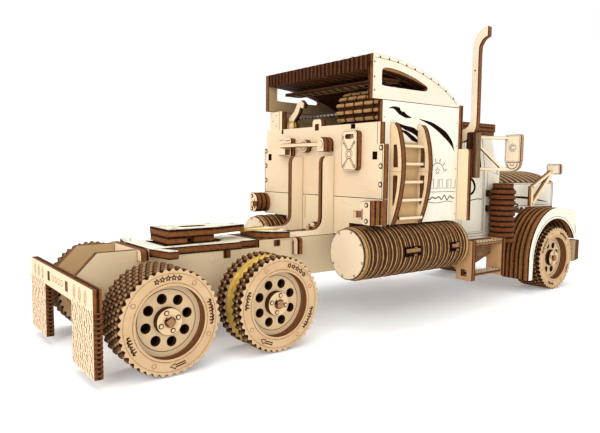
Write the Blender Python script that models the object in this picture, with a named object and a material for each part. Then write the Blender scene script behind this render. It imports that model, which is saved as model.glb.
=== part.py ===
"""Plywood construction-kit model of a long-nosed truck tractor with a sleeper cab.

Laser-cut sheet parts, one ply thick, slot together into a ladder chassis, a sleeper box, a cab,
a hood and mudguards. Wheels turn, the front pair steers, the doors, the hood, the fifth wheel and
the rear latch move, and a toothed drum in the sleeper is the rubber motor's winder.
The truck points along +X, its left side is +Y, and the ground is z = 0. Sizes are in millimetres.
"""

import math

import bmesh
import bpy
from mathutils import Vector
from mathutils.geometry import tessellate_polygon

MM = 0.001

# Driving dimensions
PLY = 3.7
GAP = 0.3
WHEEL_R = 23.5
WHEEL_W = 6 * PLY
WHEEL_OUT = 54.2
FRONT_WHEEL_OUT = 52.4
REAR_X = -158.3
DRIVE_X = -101.4
FRONT_X = 155.1
AXLE_Z = WHEEL_R
AXLE_R = 2.4
BORE_R = AXLE_R + GAP
RAIL_IN = 13.3
RAIL_OUT = RAIL_IN + PLY
RAIL_TOP = 50.2
RAIL_LOW = 28.0
DECK_Z = RAIL_TOP - PLY
TAIL_X = -190.3
NOSE_X = 190.3
BODY_HALF = 51.4
WALL_X = -36.5
SLEEPER_FRONT_X = 34.3
FLOOR_Z = 58.3
CAB_BACK_X = 38.9
CAB_HALF = 38.0
HOOD_BACK_X = 100.5
HOOD_FRONT_X = 188.0
HOOD_HALF = 29.6
TANK_R = 15.0
TANK_Y = 46.2
TANK_Z = 42.9
KINGPIN_Y = 34.0
STEER_ARM = 16.0
FIFTH_X = -118.0
FIFTH_Z = 42.0
DRUM_X = -16.0
DRUM_Z = 124.0
LATCH_Y = -13.5
LATCH_Z = 103.7
DOOR_HINGE_X = 82.0
HOOD_HINGE_Z = 60.0
RIGHT = -1
LEFT = 1


# ---------------------------------------------------------------- materials and objects

def material(name, colour, roughness, metallic=0.0):
    """A Principled material of one colour."""
    made = bpy.data.materials.new(name)
    made.use_nodes = True
    shader = made.node_tree.nodes["Principled BSDF"]
    shader.inputs["Base Color"].default_value = (*colour, 1.0)
    shader.inputs["Roughness"].default_value = roughness
    shader.inputs["Metallic"].default_value = metallic
    return made


def clear_scene():
    """Removes every object, so that the model starts from nothing."""
    for obj in list(bpy.data.objects):
        bpy.data.objects.remove(obj)


def make(name, bm, finish, origin=(0, 0, 0), smooth=False, helper=False):
    """Turns a bmesh drawn in millimetres into an object whose origin lies at the given point."""
    bmesh.ops.recalc_face_normals(bm, faces=bm.faces)
    bmesh.ops.translate(bm, verts=bm.verts, vec=-Vector(origin))
    bmesh.ops.scale(bm, verts=bm.verts, vec=Vector((MM, MM, MM)))
    mesh = bpy.data.meshes.new(name)
    bm.to_mesh(mesh)
    bm.free()
    if smooth:
        mesh.shade_smooth()
        mesh.set_sharp_from_angle(angle=math.radians(35))
    obj = bpy.data.objects.new(name, mesh)
    obj.location = Vector(origin) * MM
    bpy.context.scene.collection.objects.link(obj)
    if helper:
        obj.hide_render = True
        obj.display_type = "WIRE"
    else:
        mesh.materials.append(finish)
    return obj


def combine(name, solids, finish, cuts=(), origin=(0, 0, 0), smooth=False):
    """Makes one body: the first solid, joined to the others, less the cutters."""
    body = make(name, solids[0], finish, origin, smooth)
    steps = [("UNION", bm) for bm in solids[1:]] + [("DIFFERENCE", bm) for bm in cuts]
    for number, (operation, bm) in enumerate(steps):
        other = make(f"{name}_helper_{number}", bm, finish, origin, helper=True)
        boolean = body.modifiers.new(f"{operation.lower()}_{number}", "BOOLEAN")
        boolean.operation = operation
        boolean.object = other
    return body


# ---------------------------------------------------------------- shapes

PLANES = {
    "XY": lambda a, b, h: (a, b, h),
    "XZ": lambda a, b, h: (a, h, b),
    "YZ": lambda a, b, h: (h, a, b),
}


def corners_only(loop):
    """A closed outline without repeated points or points on a straight run."""
    kept = []
    for n, (a, b) in enumerate(loop):
        (a0, b0), (a1, b1) = loop[n - 1], loop[(n + 1) % len(loop)]
        if abs((a - a0) * (b1 - b) - (b - b0) * (a1 - a)) > 0.001:
            kept.append((a, b))
    return kept


def sheet(plane, low, high, outline, *holes, side=1):
    """A flat ply part: an outline with holes in one plane, from low to high across it.

    side = -1 mirrors the part to the right-hand side of the truck.
    """
    place = PLANES[plane]
    loops = [corners_only(loop) for loop in (outline, *holes)]
    bm = bmesh.new()
    levels = {low: [], high: []}
    for level, corners in levels.items():
        for loop in loops:
            for a, b in loop:
                x, y, z = place(a, b, level)
                corners.append(bm.verts.new((x, y * side, z)))
    flat = [[Vector((a, b, 0)) for a, b in loop] for loop in loops]
    for i, j, k in tessellate_polygon(flat):
        for corners in levels.values():
            bm.faces.new((corners[i], corners[j], corners[k]))
    start = 0
    for loop in loops:
        for n in range(len(loop)):
            one = start + n
            two = start + (n + 1) % len(loop)
            below, above = levels[low], levels[high]
            bm.faces.new((below[one], below[two], above[two], above[one]))
        start += len(loop)
    return bm


def box(low, high, side=1):
    """A rectangular block between two corners."""
    (x0, y0, z0), (x1, y1, z1) = low, high
    return sheet("XY", z0, z1, [(x0, y0), (x1, y0), (x1, y1), (x0, y1)], side=side)


def turned(axis, centre, profile, segments=24, closed=False, side=1):
    """A lathe shape: (radius, height) points swept round an axis through the centre.

    Heights run along the axis. A closed profile is a ring, an open one ends on the axis.
    """
    bm = bmesh.new()
    rings = []
    for radius, height in profile:
        ring = []
        for n in range(segments if radius > 0 else 1):
            turn = 2 * math.pi * n / segments
            a, b = radius * math.cos(turn), radius * math.sin(turn)
            offset = {"X": (height, a, b), "Y": (a, height, b), "Z": (a, b, height)}[axis]
            x, y, z = Vector(centre) + Vector(offset)
            ring.append(bm.verts.new((x, y * side, z)))
        rings.append(ring)
    pairs = list(zip(rings, rings[1:]))
    if closed:
        pairs.append((rings[-1], rings[0]))
    for one, two in pairs:
        for n in range(segments):
            m = (n + 1) % segments
            corners = [one[n % len(one)], one[m % len(one)], two[m % len(two)], two[n % len(two)]]
            corners = list(dict.fromkeys(corners))
            if len(corners) > 2:
                bm.faces.new(corners)
    return bm


def rod(axis, centre, radius, low, high, segments=12, side=1):
    """A plain round bar along an axis, from low to high of the centre."""
    profile = [(0, low), (radius, low), (radius, high), (0, high)]
    return turned(axis, centre, profile, segments, side=side)


def arc(centre, radius, start, end, steps):
    """Points on a circle's arc, angles in degrees."""
    points = []
    for n in range(steps + 1):
        turn = math.radians(start + (end - start) * n / steps)
        points.append((centre[0] + radius * math.cos(turn), centre[1] + radius * math.sin(turn)))
    return points


def circle(centre, radius, steps=12):
    """A closed ring of points."""
    return arc(centre, radius, 0, 360 * (steps - 1) / steps, steps - 1)


def rectangle(a0, b0, a1, b1):
    """The four corners of a rectangle."""
    return [(a0, b0), (a1, b0), (a1, b1), (a0, b1)]


def rounded(a0, b0, a1, b1, radius, steps=3):
    """A rectangle with round corners."""
    points = []
    middles = [(a1 - radius, b0 + radius, -90), (a1 - radius, b1 - radius, 0),
               (a0 + radius, b1 - radius, 90), (a0 + radius, b0 + radius, 180)]
    for a, b, start in middles:
        points += arc((a, b), radius, start, start + 90, steps)
    return points


def both_sides(outline):
    """An outline given for positive Y, closed by its mirror image across Y = 0 (x, y points)."""
    return outline + [(a, -b) for a, b in reversed(outline)]


def both_halves(outline):
    """An outline given for positive Y, closed by its mirror image across Y = 0 (y, z points)."""
    return outline + [(-a, b) for a, b in reversed(outline)]


def hand(side):
    """The name ending for a side of the truck."""
    return "right" if side == RIGHT else "left"


# ---------------------------------------------------------------- chassis

CROSS_REAR_X = -158.3
CROSS_MID_X = -67.0
DECK_REAR_X = -152.0
DECK_FRONT_X = -90.0


def chassis_rail(side, finish):
    """One side rail: a long sheet on edge, with seats for the deck, the axles and the crosspieces."""
    outline = [
        (TAIL_X + GAP, 34.3), (TAIL_X + GAP, 38.3), (-186.3, 38.3), (-186.3, 41.0),
        (-177.2, RAIL_TOP), (CROSS_REAR_X - GAP, RAIL_TOP), (CROSS_REAR_X - GAP, 45.0),
        (CROSS_REAR_X + PLY + GAP, 45.0), (CROSS_REAR_X + PLY + GAP, RAIL_TOP),
        (DECK_REAR_X - 0.4, RAIL_TOP), (DECK_REAR_X - 0.4, DECK_Z - GAP),
        (DECK_FRONT_X + 0.4, DECK_Z - GAP), (DECK_FRONT_X + 0.4, RAIL_TOP),
        (CROSS_MID_X - GAP, RAIL_TOP), (CROSS_MID_X - GAP, 40.7),
        (CROSS_MID_X + PLY + GAP, 40.7), (CROSS_MID_X + PLY + GAP, RAIL_TOP),
        (178.0, RAIL_TOP), (184.0, 46.0), (184.0, 36.0), (172.0, RAIL_LOW),
        (-66.0, RAIL_LOW), (-80.0, 17.0), (-178.0, 17.0), (-186.3, 32.0), (-186.3, 34.3),
    ]
    holes = [circle((x, AXLE_Z), AXLE_R + 0.6) for x in (REAR_X, DRIVE_X)]
    pin_hole = circle((FIFTH_X, FIFTH_Z), 1.8, 10)
    rail = sheet("XZ", RAIL_IN, RAIL_OUT, outline, *holes, pin_hole, side=side)
    make(f"rail_{hand(side)}", rail, finish)


def crossmember(name, x, low, deep, finish):
    """A sheet across the rails. Its rounded ears hook over them and stand out on each side."""
    half = [(RAIL_IN - GAP, deep), (RAIL_IN - GAP, low), (21.5, low)]
    half += arc((19.3, RAIL_TOP - 2.0), 2.2, 0, 90, 3)
    make(name, sheet("YZ", x, x + PLY, both_halves(half)), finish)


def mudflap(finish):
    """The tail board: a full-width plate whose middle is cut away, so that two legs hang down."""
    half = [(22.3, 31.4), (22.3, 4.2), (51.5, 4.2), (51.5, 41.0)]
    slots = [rectangle(s * 15.15 - 2.15, 34.0, s * 15.15 + 2.15, 38.6) for s in (LEFT, RIGHT)]
    make("mudflap", sheet("YZ", TAIL_X, TAIL_X + PLY, both_halves(half), *slots), finish)


def deck_plate(finish):
    """The plate let into the rails' tops, with an opening for the fifth wheel and two side arms."""
    half = [(DECK_FRONT_X, 14.2), (-101.4, 14.2), (-101.4, 17.6), (-147.2, 17.6), (-143.0, 29.6),
            (-144.6, 31.4), (-149.0, 31.6), (DECK_REAR_X, 17.0)]
    opening = [(-105.5, 4.3), (-110.5, 9.6), (-142.5, 12.6)]
    plate = sheet("XY", DECK_Z, RAIL_TOP, both_sides(half), both_sides(opening))
    make("deck_plate", plate, finish)


def ramp_plate(finish):
    """The tongue on the rails between the deck and the sleeper."""
    half = [(-66.0, 12.6), (-70.8, 12.6), (-70.8, 19.5), (-73.0, 19.5), (-81.0, 16.0), (-86.5, 8.0)]
    make("ramp_plate", sheet("XY", RAIL_TOP + GAP, RAIL_TOP + GAP + PLY, both_sides(half)), finish)


def fifth_wheel(finish):
    """The coupling plate with its kingpin slot, on a spacer and two lugs that hang on a cross pin."""
    half = [(-92.5, 6.0), (-101.0, 8.0), (-113.0, 11.7), (-140.0, 11.7)]
    slot = rounded(-129.0, -3.2, -113.5, 3.2, 3.0)
    plate = sheet("XY", 54.5, 54.5 + PLY, both_sides(half), slot)
    rest = box((-140.0, -11.0, 51.0), (-129.6, 11.0, 55.5))
    foot = box((-139.4, -9.5, 47.2), (-130.2, 9.5, 52.0))
    lugs = [box((-124.0, s * 6.45 - 1.85, 39.0), (-112.6, s * 6.45 + 1.85, 55.5)) for s in (1, -1)]
    pin = rod("Y", (FIFTH_X, 0, FIFTH_Z), 1.5, -16.6, 16.6, 10)
    combine("fifth_wheel", [plate, rest, foot, *lugs, pin], finish,
            origin=(FIFTH_X, 0, FIFTH_Z))


def front_axle_beam(finish):
    """Two plies across the front, with round ends and a kingpin hole in each."""
    half_width = 4.2
    outline = arc((FRONT_X, KINGPIN_Y), half_width, 0, 180, 6)
    outline += arc((FRONT_X, -KINGPIN_Y), half_width, 180, 360, 6)
    holes = [circle((FRONT_X, s * KINGPIN_Y), 1.8, 10) for s in (LEFT, RIGHT)]
    make("front_axle_beam", sheet("XY", 19.8, 19.8 + 2 * PLY, outline, *holes), finish)


# ---------------------------------------------------------------- wheels and steering

HOLE_PITCH = 9.8
HOLE_R = 2.1


def wheel(name, x, outer, side, back_depth, groove, finish):
    """A wheel of stacked discs: tread, dished face with eight round holes, hub, hollow back."""
    tread = [(WHEEL_R, 0), (WHEEL_R, -WHEEL_W)]
    if groove:
        floor = WHEEL_R - 2.3
        tread = [(WHEEL_R, 0), (WHEEL_R, -2 * PLY), (floor, -2 * PLY), (floor, -4 * PLY),
                 (WHEEL_R, -4 * PLY), (WHEEL_R, -WHEEL_W)]
    web_back = back_depth - WHEEL_W
    profile = [(BORE_R, -1.8), (5.6, -1.8), (5.6, -5.0), (15.9, -5.0), (15.9, 0)]
    profile += tread + [(16.2, -WHEEL_W), (16.2, web_back), (BORE_R, web_back)]
    body = turned("Y", (x, outer, AXLE_Z), profile, 24, closed=True, side=side)
    cuts = []
    for n in range(8):
        turn = math.radians(45 * n + 22.5)
        centre = (x + HOLE_PITCH * math.cos(turn), outer, AXLE_Z + HOLE_PITCH * math.sin(turn))
        cuts.append(rod("Y", centre, HOLE_R, web_back - 1, -4.0, 8, side=side))
    cutter = bmesh.new()
    for cut in cuts:
        joined = bpy.data.meshes.new("hole")
        cut.to_mesh(joined)
        cutter.from_mesh(joined)
        bpy.data.meshes.remove(joined)
        cut.free()
    combine(name, [body], finish, [cutter], (x, 0, AXLE_Z), smooth=True)


def axle(name, x, finish):
    """A round cross shaft that carries a wheel on each end."""
    make(name, rod("Y", (x, 0, AXLE_Z), AXLE_R, -53.2, 53.2, 12), finish, (x, 0, AXLE_Z), True)


def drive_band(side, finish):
    """The rubber pair in the drive wheel's groove: a ring with a shallow channel round its middle."""
    inner, outer = WHEEL_R - 2.0, WHEEL_R - 0.6
    near, far = -2 * PLY - GAP, -4 * PLY + GAP
    middle = (near + far) / 2
    profile = [(inner, near), (outer, near), (outer, middle + GAP), (outer - 0.7, middle),
               (outer, middle - GAP), (outer, far), (inner, far)]
    ring = turned("Y", (DRIVE_X, WHEEL_OUT, AXLE_Z), profile, 24, closed=True, side=side)
    make(f"drive_band_{hand(side)}", ring, finish, (DRIVE_X, 0, AXLE_Z), True)


def drive_gear(finish):
    """The spur gear on the drive axle, between the rails."""
    teeth = 20
    outline = []
    for n in range(teeth):
        for part, radius in ((0.0, 11.2), (0.3, 13.2), (0.55, 13.2), (0.85, 11.2)):
            turn = 2 * math.pi * (n + part) / teeth
            outline.append((DRIVE_X + radius * math.cos(turn), AXLE_Z + radius * math.sin(turn)))
    gear = sheet("XZ", 4.0, 4.0 + PLY, outline, circle((DRIVE_X, AXLE_Z), BORE_R))
    make("drive_gear", gear, finish, (DRIVE_X, 0, AXLE_Z))


def knuckle(side, finish):
    """A steering knuckle: two ears round the beam's end, a kingpin, a stub axle and a steering arm."""
    ear = arc((FRONT_X, KINGPIN_Y), 4.2, 180, 360, 6)
    ear += [(FRONT_X + 4.2, 42.3), (FRONT_X - 4.2, 42.3)]
    upper = sheet("XY", 27.6, 31.3, ear, side=side)
    lower = sheet("XY", 15.7, 19.4, ear, side=side)
    web = box((FRONT_X - 4.2, 38.9, 16.5), (FRONT_X + 4.2, 42.3, 30.5), side=side)
    kingpin = rod("Z", (FRONT_X, KINGPIN_Y, 0), 1.5, 16.5, 30.5, 10, side=side)
    stub = rod("Y", (FRONT_X, 0, AXLE_Z), AXLE_R, 41.0, 51.2, 12, side=side)
    arm_x = FRONT_X - STEER_ARM
    arm = sheet("XY", 16.0, 19.1, [(arm_x - 2.0, 23.6), (FRONT_X + 2.5, 23.6), (FRONT_X + 2.5, 36.0),
                                   (FRONT_X - 2.5, 36.0), (FRONT_X - 2.5, 27.7),
                                   (arm_x - 2.0, 27.7)], side=side)
    combine(f"knuckle_{hand(side)}", [upper, lower, web, kingpin, stub, arm], finish,
            origin=(FRONT_X, side * KINGPIN_Y, AXLE_Z))


def tie_rod(finish):
    """The bar over the two steering arms."""
    x = FRONT_X - STEER_ARM
    make("tie_rod", box((x - 2.1, -26.9, 19.8), (x + 2.1, 26.9, 19.8 + PLY)), finish, (x, 0, 20))


# ---------------------------------------------------------------- sleeper box

ROOF_CURVE = [(-39.8, 151.4), (-31.0, 151.2), (-20.0, 150.2), (-9.0, 148.3), (2.0, 145.5),
              (13.0, 141.8), (22.0, 137.7), (29.5, 133.3), (34.3, 129.6)]
ROOF_THICK = 7.8


def sleeper_side(side, finish):
    """A side panel, from above the fuel tank to the roof's end plate."""
    front, back = SLEEPER_FRONT_X, WALL_X + PLY + 0.9
    bearing = circle((DRUM_X, DRUM_Z), 1.9, 8)
    outline = [(back, FLOOR_Z), (front, FLOOR_Z), (front, 127.2), (back, 127.2)]
    panel = sheet("XZ", BODY_HALF - PLY, BODY_HALF, outline, bearing, side=side)
    make(f"sleeper_side_{hand(side)}", panel, finish)


def sleeper_roof(finish):
    """The curved roof: arched plies side by side, closed by an end plate with a window each side."""
    inside = [(x, z - ROOF_THICK) for x, z in ROOF_CURVE[:-2]]
    slab = ROOF_CURVE + [(SLEEPER_FRONT_X, 127.9), (27.0, 127.9)] + inside[::-1]
    shell = sheet("XZ", 0.4 - BODY_HALF, BODY_HALF - 0.4, slab)
    plate = [(x, z - 0.5) for x, z in ROOF_CURVE]
    plate += [(SLEEPER_FRONT_X - 0.5, 127.5), (-39.4, 127.5)]
    window = [(-33.0, 137.5), (-31.0, 134.8), (1.5, 134.6), (5.2, 136.2), (3.8, 138.8),
              (-18.0, 143.4), (-28.5, 144.4), (-32.5, 142.6)]
    plates = [sheet("XZ", BODY_HALF - PLY, BODY_HALF, plate, window, side=s) for s in (LEFT, RIGHT)]
    combine("sleeper_roof", [shell, *plates], finish)


def rear_wall(finish):
    """The upper back panel, with a holed tab in the middle and a corner post at its left."""
    right = [(-57.5, 73.2), (-57.5, 103.0), (-54.5, 103.0), (-54.5, 115.0), (-4.2, 115.0),
             (-4.2, 118.0), (-3.0, 119.4)]
    left = [(3.0, 119.4), (4.2, 118.0), (4.2, 115.0), (37.0, 115.0), (37.0, 127.0), (50.6, 127.0),
            (50.6, 115.0), (54.5, 115.0), (54.5, 103.0), (57.5, 103.0), (57.5, 73.2)]
    tab_hole = rectangle(-1.9, 112.6, 1.9, 116.6)
    make("rear_wall", sheet("YZ", WALL_X, WALL_X + PLY, right + left, tab_hole), finish)


def rear_skirt(finish):
    """The lower back panel, cut away over the tanks."""
    half = [(30.8, RAIL_TOP + 0.6), (30.8, 58.2), (57.5, 58.2), (57.5, 72.9)]
    make("rear_skirt", sheet("YZ", WALL_X, WALL_X + PLY, both_halves(half)), finish)


def sleeper_floor(finish):
    """The floor sheet on two ribs that stand on the rails."""
    back, front = WALL_X + PLY + 0.6, SLEEPER_FRONT_X
    floor = box((back, GAP + PLY - BODY_HALF, FLOOR_Z), (front, BODY_HALF - PLY - GAP, FLOOR_Z + PLY))
    ribs = [box((back + 2, s * 15.15 - 1.85, RAIL_TOP + GAP), (front - 2, s * 15.15 + 1.85, 60.0))
            for s in (LEFT, RIGHT)]
    combine("sleeper_floor", [floor, *ribs], finish)


def roof_shelf(finish):
    """The ply shelf under the roof, with a row of round holes."""
    holes = [circle((-22.0, y), 2.4, 8) for y in (-35, -21, -7, 7, 21, 35)]
    half_width = BODY_HALF - PLY - 0.5
    outline = rectangle(-31.0, -half_width, -13.5, half_width)
    make("roof_shelf", sheet("XY", 137.0, 137.0 + PLY, outline, *holes), finish)


def motor_drum(finish):
    """The winding drum: five ridged discs on a long shaft that runs in the side panels."""
    profile = [(0, -50.8), (1.5, -50.8), (1.5, -46.8)]
    for n in range(5):
        start = -46.8 + 8.1 * n
        profile += [(12.2, start), (12.2, start + 7.0)]
        if n < 4:
            profile += [(9.5, start + 7.0), (9.5, start + 8.1)]
    profile += [(1.5, -7.4), (1.5, 50.8), (0, 50.8)]
    drum = turned("Y", (DRUM_X, 0, DRUM_Z), profile, 20)
    make("motor_drum", drum, finish, (DRUM_X, 0, DRUM_Z), True)


def release_lever(finish):
    """The hooked lever that lets the motor go, on a pivot inside the open back."""
    hook = [(30.5, 109.5), (34.5, 109.5), (36.5, 116.0), (36.0, 122.5), (30.0, 127.0),
            (27.0, 131.5), (23.0, 133.5), (19.8, 131.0), (20.8, 128.0), (24.0, 129.0),
            (26.0, 125.0), (30.8, 120.5)]
    blade = sheet("YZ", -31.4, -28.4, hook)
    pivot = rod("X", (0, 33.0, 117.0), 2.6, -31.9, -26.0, 10)
    combine("release_lever", [blade, pivot], finish, origin=(-30.0, 33.0, 117.0))


def latch(finish, plate_finish):
    """The turning bar on the back panel and the keeper plate that it lies on."""
    back = WALL_X - 0.4
    hub = rod("X", (0, LATCH_Y, LATCH_Z), 4.6, back - 8.0, back, 16)
    bar = sheet("YZ", back - 7.4, back - 4.1, rounded(LATCH_Y, 102.2, 28.5, 105.2, 1.4, 2))
    combine("latch_bar", [hub, bar], finish, origin=(WALL_X, LATCH_Y, LATCH_Z), smooth=True)
    keeper = sheet("YZ", back - 3.6, back, rounded(21.4, 97.0, 35.0, 108.6, 1.2, 2))
    lip = box((back - 7.4, 22.5, 98.0), (back - 3.0, 33.5, 101.6))
    combine("latch_keeper", [keeper, lip], plate_finish)


def jerry_can(finish):
    """A flat can with a handle slot, fixed to the back panel."""
    body = rounded(-40.5, 88.5, -27.6, 111.0, 2.5)
    handle = rounded(-38.0, 106.2, -30.6, 109.0, 1.2, 2)
    make("jerry_can", sheet("YZ", WALL_X - 0.4 - PLY, WALL_X - 0.4, body, handle), finish)


def fin(side, finish):
    """An upright on a rail: a long foot that sweeps up into a fin behind the back panel."""
    near = WALL_X - 0.4
    outline = [(-70.0, RAIL_TOP + GAP), (near, RAIL_TOP + GAP), (near, 97.0), (-41.5, 97.0)]
    outline += arc((-41.5, 93.0), 4.0, 90, 180, 3)
    outline += arc((-52.5, 60.5), 7.0, 0, -90, 4) + [(-70.0, 53.5)]
    make(f"fin_{hand(side)}", sheet("XZ", RAIL_IN, RAIL_OUT, outline, side=side), finish)


def ladder(side, finish):
    """A side ladder: two bowed uprights with slots, and five treads between them."""
    inner = BODY_HALF + GAP
    bow = [(inner, 57.8), (53.0, 57.8), (56.0, 65.0), (58.8, 76.0), (60.3, 89.0), (59.4, 101.0),
           (56.6, 111.5), (54.4, 115.0), (inner, 115.0)]
    slots = [[(54.4, 69.0), (56.0, 74.0), (56.0, 86.0), (54.4, 86.0)],
             [(54.4, 90.5), (56.6, 90.5), (56.2, 102.0), (54.4, 102.0)]]
    uprights = [sheet("YZ", x, x + PLY, bow, *slots, side=side) for x in (-25.5, -3.0)]
    treads = [box((-22.5, 51.9, z), (-2.3, 57.0, z + 3.2), side=side)
              for z in (60.0, 70.0, 80.2, 90.2)]
    treads.append(box((-22.5, 51.9, 100.4), (-2.3, 56.2, 103.6), side=side))
    combine(f"ladder_{hand(side)}", [*uprights, *treads], finish)


def fuel_tank(side, finish):
    """A round tank of stacked discs, with a smaller cap disc at each end."""
    cap = TANK_R - 0.9
    profile = [(0, -52.0), (cap, -52.0), (cap, -48.4), (TANK_R, -48.4), (TANK_R, 33.6),
               (cap, 33.6), (cap, 37.2), (0, 37.2)]
    tank = turned("X", (0, TANK_Y, TANK_Z), profile, 28, side=side)
    make(f"fuel_tank_{hand(side)}", tank, finish, (0, side * TANK_Y, TANK_Z), True)


# ---------------------------------------------------------------- cab and front

def cab_divider(finish):
    """The sheet between sleeper and cab. Its lower edges stand out on each side as wind deflectors."""
    half = [(59.2, FLOOR_Z), (59.2, 101.0), (58.2, 102.2), (BODY_HALF, 102.2), (BODY_HALF, 129.0)]
    doorway = rounded(-20.0, 66.0, 20.0, 110.0, 6.0)
    front = SLEEPER_FRONT_X + 0.5
    make("cab_divider", sheet("YZ", front, front + PLY, both_halves(half), doorway), finish)


def cab_shell(finish):
    """The cab's fixed shell: two door frames, back frame, floor, cowl, windscreen frame and roof."""
    back, inner = CAB_BACK_X, CAB_HALF - PLY
    frame = [(back, 41.0), (99.8, 41.0), (99.8, 89.0), (96.2, 90.0), (87.6, 117.5), (back, 117.5)]
    doorway = [(56.6, 45.6), (82.4, 45.6), (82.4, 90.8), (78.2, 113.2), (56.6, 113.2)]
    sides = [sheet("XZ", inner, CAB_HALF, frame, doorway, side=s) for s in (LEFT, RIGHT)]
    doorway_back = rounded(-20.0, 66.0, 20.0, 110.0, 6.0)
    wall = sheet("YZ", back + 0.2, back + 3.5, rectangle(-36.0, 50.8, 36.0, 117.0), doorway_back)
    floor = box((back + 1.0, -34.0, RAIL_TOP + 0.6), (99.4, 34.0, RAIL_TOP + 3.6))
    cowl = box((84.0, -36.0, 85.0), (99.4, 36.0, 88.6))
    bulkhead = box((96.4, -36.0, 51.5), (99.5, 36.0, 87.0))
    roof = box((back + 0.1, -40.0, 115.6), (89.2, 40.0, 120.6))
    pane_low = (99.0, 87.0)
    pane_high = (89.4, 117.0)
    pillars = [sheet("XZ", s * 17.8 - 17.9, s * 17.8 + 17.9,
                     [pane_low, pane_high, (86.2, 117.0), (95.6, 87.0)]) for s in (-1, 1)]
    panes = []
    for s in (LEFT, RIGHT):
        low, high = (2.2, 33.0) if s == LEFT else (-33.0, -2.2)
        panes.append(sheet("XZ", low, high, [(103.0, 91.5), (84.0, 91.5), (76.0, 113.0),
                                             (99.0, 113.0)]))
    combine("cab_shell", [sides[0], sides[1], wall, floor, cowl, bulkhead, roof, *pillars],
            finish, panes)


def door(side, finish):
    """A front-hinged door with an open window."""
    outline = [(57.0, 46.0), (DOOR_HINGE_X, 46.0), (DOOR_HINGE_X, 90.8), (77.8, 112.8), (57.0, 112.8)]
    window = [(60.2, 91.0), (78.4, 91.0), (75.2, 109.2), (60.2, 109.2)]
    leaf = sheet("XZ", CAB_HALF - PLY + 0.1, CAB_HALF - 0.1, outline, window, side=side)
    make(f"door_{hand(side)}", leaf, finish, (DOOR_HINGE_X, side * CAB_HALF, 50.0))


def slanted(start, end, outline, thick, side):
    """A sheet standing on a slanting plan line: outline points are (distance along it, height)."""
    bm = sheet("XZ", -thick / 2, thick / 2, outline)
    run = math.hypot(end[0] - start[0], end[1] - start[1])
    ux, uy = (end[0] - start[0]) / run, (end[1] - start[1]) / run
    for vert in bm.verts:
        along, across = vert.co.x, vert.co.y
        vert.co.x = start[0] + along * ux - across * uy
        vert.co.y = (start[1] + along * uy + across * ux) * side
    return bm


def mirror(side, finish):
    """A wing mirror: a triangular frame from the door and an upright plate with a round foot."""
    frame = [(0, 112.2), (29.2, 112.2), (29.2, 109.6), (4.0, 109.6), (26.0, 91.6),
             (29.2, 91.6), (29.2, 88.6), (0, 88.6), (0, 91.6), (21.0, 91.6), (0, 108.8)]
    bracket = slanted((62.0, CAB_HALF + 1.4), (87.4, 52.6), frame, 2.4, side)
    glass = [(50.2, 94.0)] + arc((51.4, 112.0), 1.2, 180, 90, 2)
    glass += arc((60.8, 112.0), 1.2, 90, 0, 2) + [(62.0, 94.0)]
    glass += arc((56.1, 93.6), 5.6, 0, -180, 6)
    plate = sheet("YZ", 86.4, 86.4 + PLY, glass, side=side)
    foot = box((60.2, CAB_HALF + 0.2, 88.2), (63.8, CAB_HALF + 2.6, 112.6), side=side)
    combine(f"mirror_{hand(side)}", [plate, bracket, foot], finish,
            origin=(DOOR_HINGE_X, side * CAB_HALF, 50.0))


def hood(finish):
    """The long hood: an arched top on two sides, with a front panel. It tips forward."""
    crown, shoulder = 88.8, 80.3
    rise = crown - shoulder
    radius = (HOOD_HALF ** 2 + rise ** 2) / (2 * rise)
    spread = math.degrees(math.asin(HOOD_HALF / radius))
    top = arc((0, crown - radius), radius, 90 - spread, 90 + spread, 10)
    under = arc((0, crown - radius), radius - PLY, 90 + spread * 0.84, 90 - spread * 0.84, 8)
    low, inner = 61.0, HOOD_HALF - PLY
    tunnel = [(HOOD_HALF, low), *top, (-HOOD_HALF, low), (-inner, low), *under, (inner, low)]
    shell = sheet("YZ", HOOD_BACK_X, HOOD_FRONT_X - 1.0, tunnel)
    face = [(y * 0.995, z - 0.2) for y, z in [(HOOD_HALF, 53.0), *top, (-HOOD_HALF, 53.0)]]
    grille = rectangle(-18.0, 57.0, 18.0, 80.0)
    front = sheet("YZ", HOOD_FRONT_X - PLY, HOOD_FRONT_X, face, grille)
    combine("hood", [shell, front], finish, origin=(HOOD_FRONT_X - 3.0, 0, HOOD_HINGE_Z))


def fender(side, finish):
    """A front mudguard of six arched plies round the wheel."""
    centre = (FRONT_X, AXLE_Z)
    outline = [(124.6, 9.8), (119.7, 9.8), (119.7, 23.5)]
    for n in range(1, 8):
        turn = math.radians(180 - 90 * n / 7)
        outline.append((FRONT_X + 35.4 * math.cos(turn), AXLE_Z + 38.2 * math.sin(turn)))
    outline += [(168.0, 60.8), (181.0, 58.4), (184.4, 55.5), (187.0, 36.6)]
    outline += arc(centre, 30.0, 26, 180, 12)
    guard = sheet("XZ", HOOD_HALF + 0.4, 52.0, outline, side=side)
    make(f"fender_{hand(side)}", guard, finish)


def marker_lamp(side, finish):
    """A lamp plate on a triangular arm that stands on the mudguard."""
    outer = [(137.0, 62.4), (142.5, 62.4), (168.5, 86.0), (168.5, 90.5), (163.0, 88.8), (136.6, 77.6)]
    hole = [(140.2, 66.5), (157.5, 82.6), (140.0, 75.6)]
    arm = sheet("XZ", 38.2, 38.2 + 2.8, outer, hole, side=side)
    lamp = sheet("YZ", 167.2, 167.2 + PLY, rounded(35.0, 86.6, 46.0, 94.6, 1.4, 2), side=side)
    combine(f"marker_lamp_{hand(side)}", [lamp, arm], finish)


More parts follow.
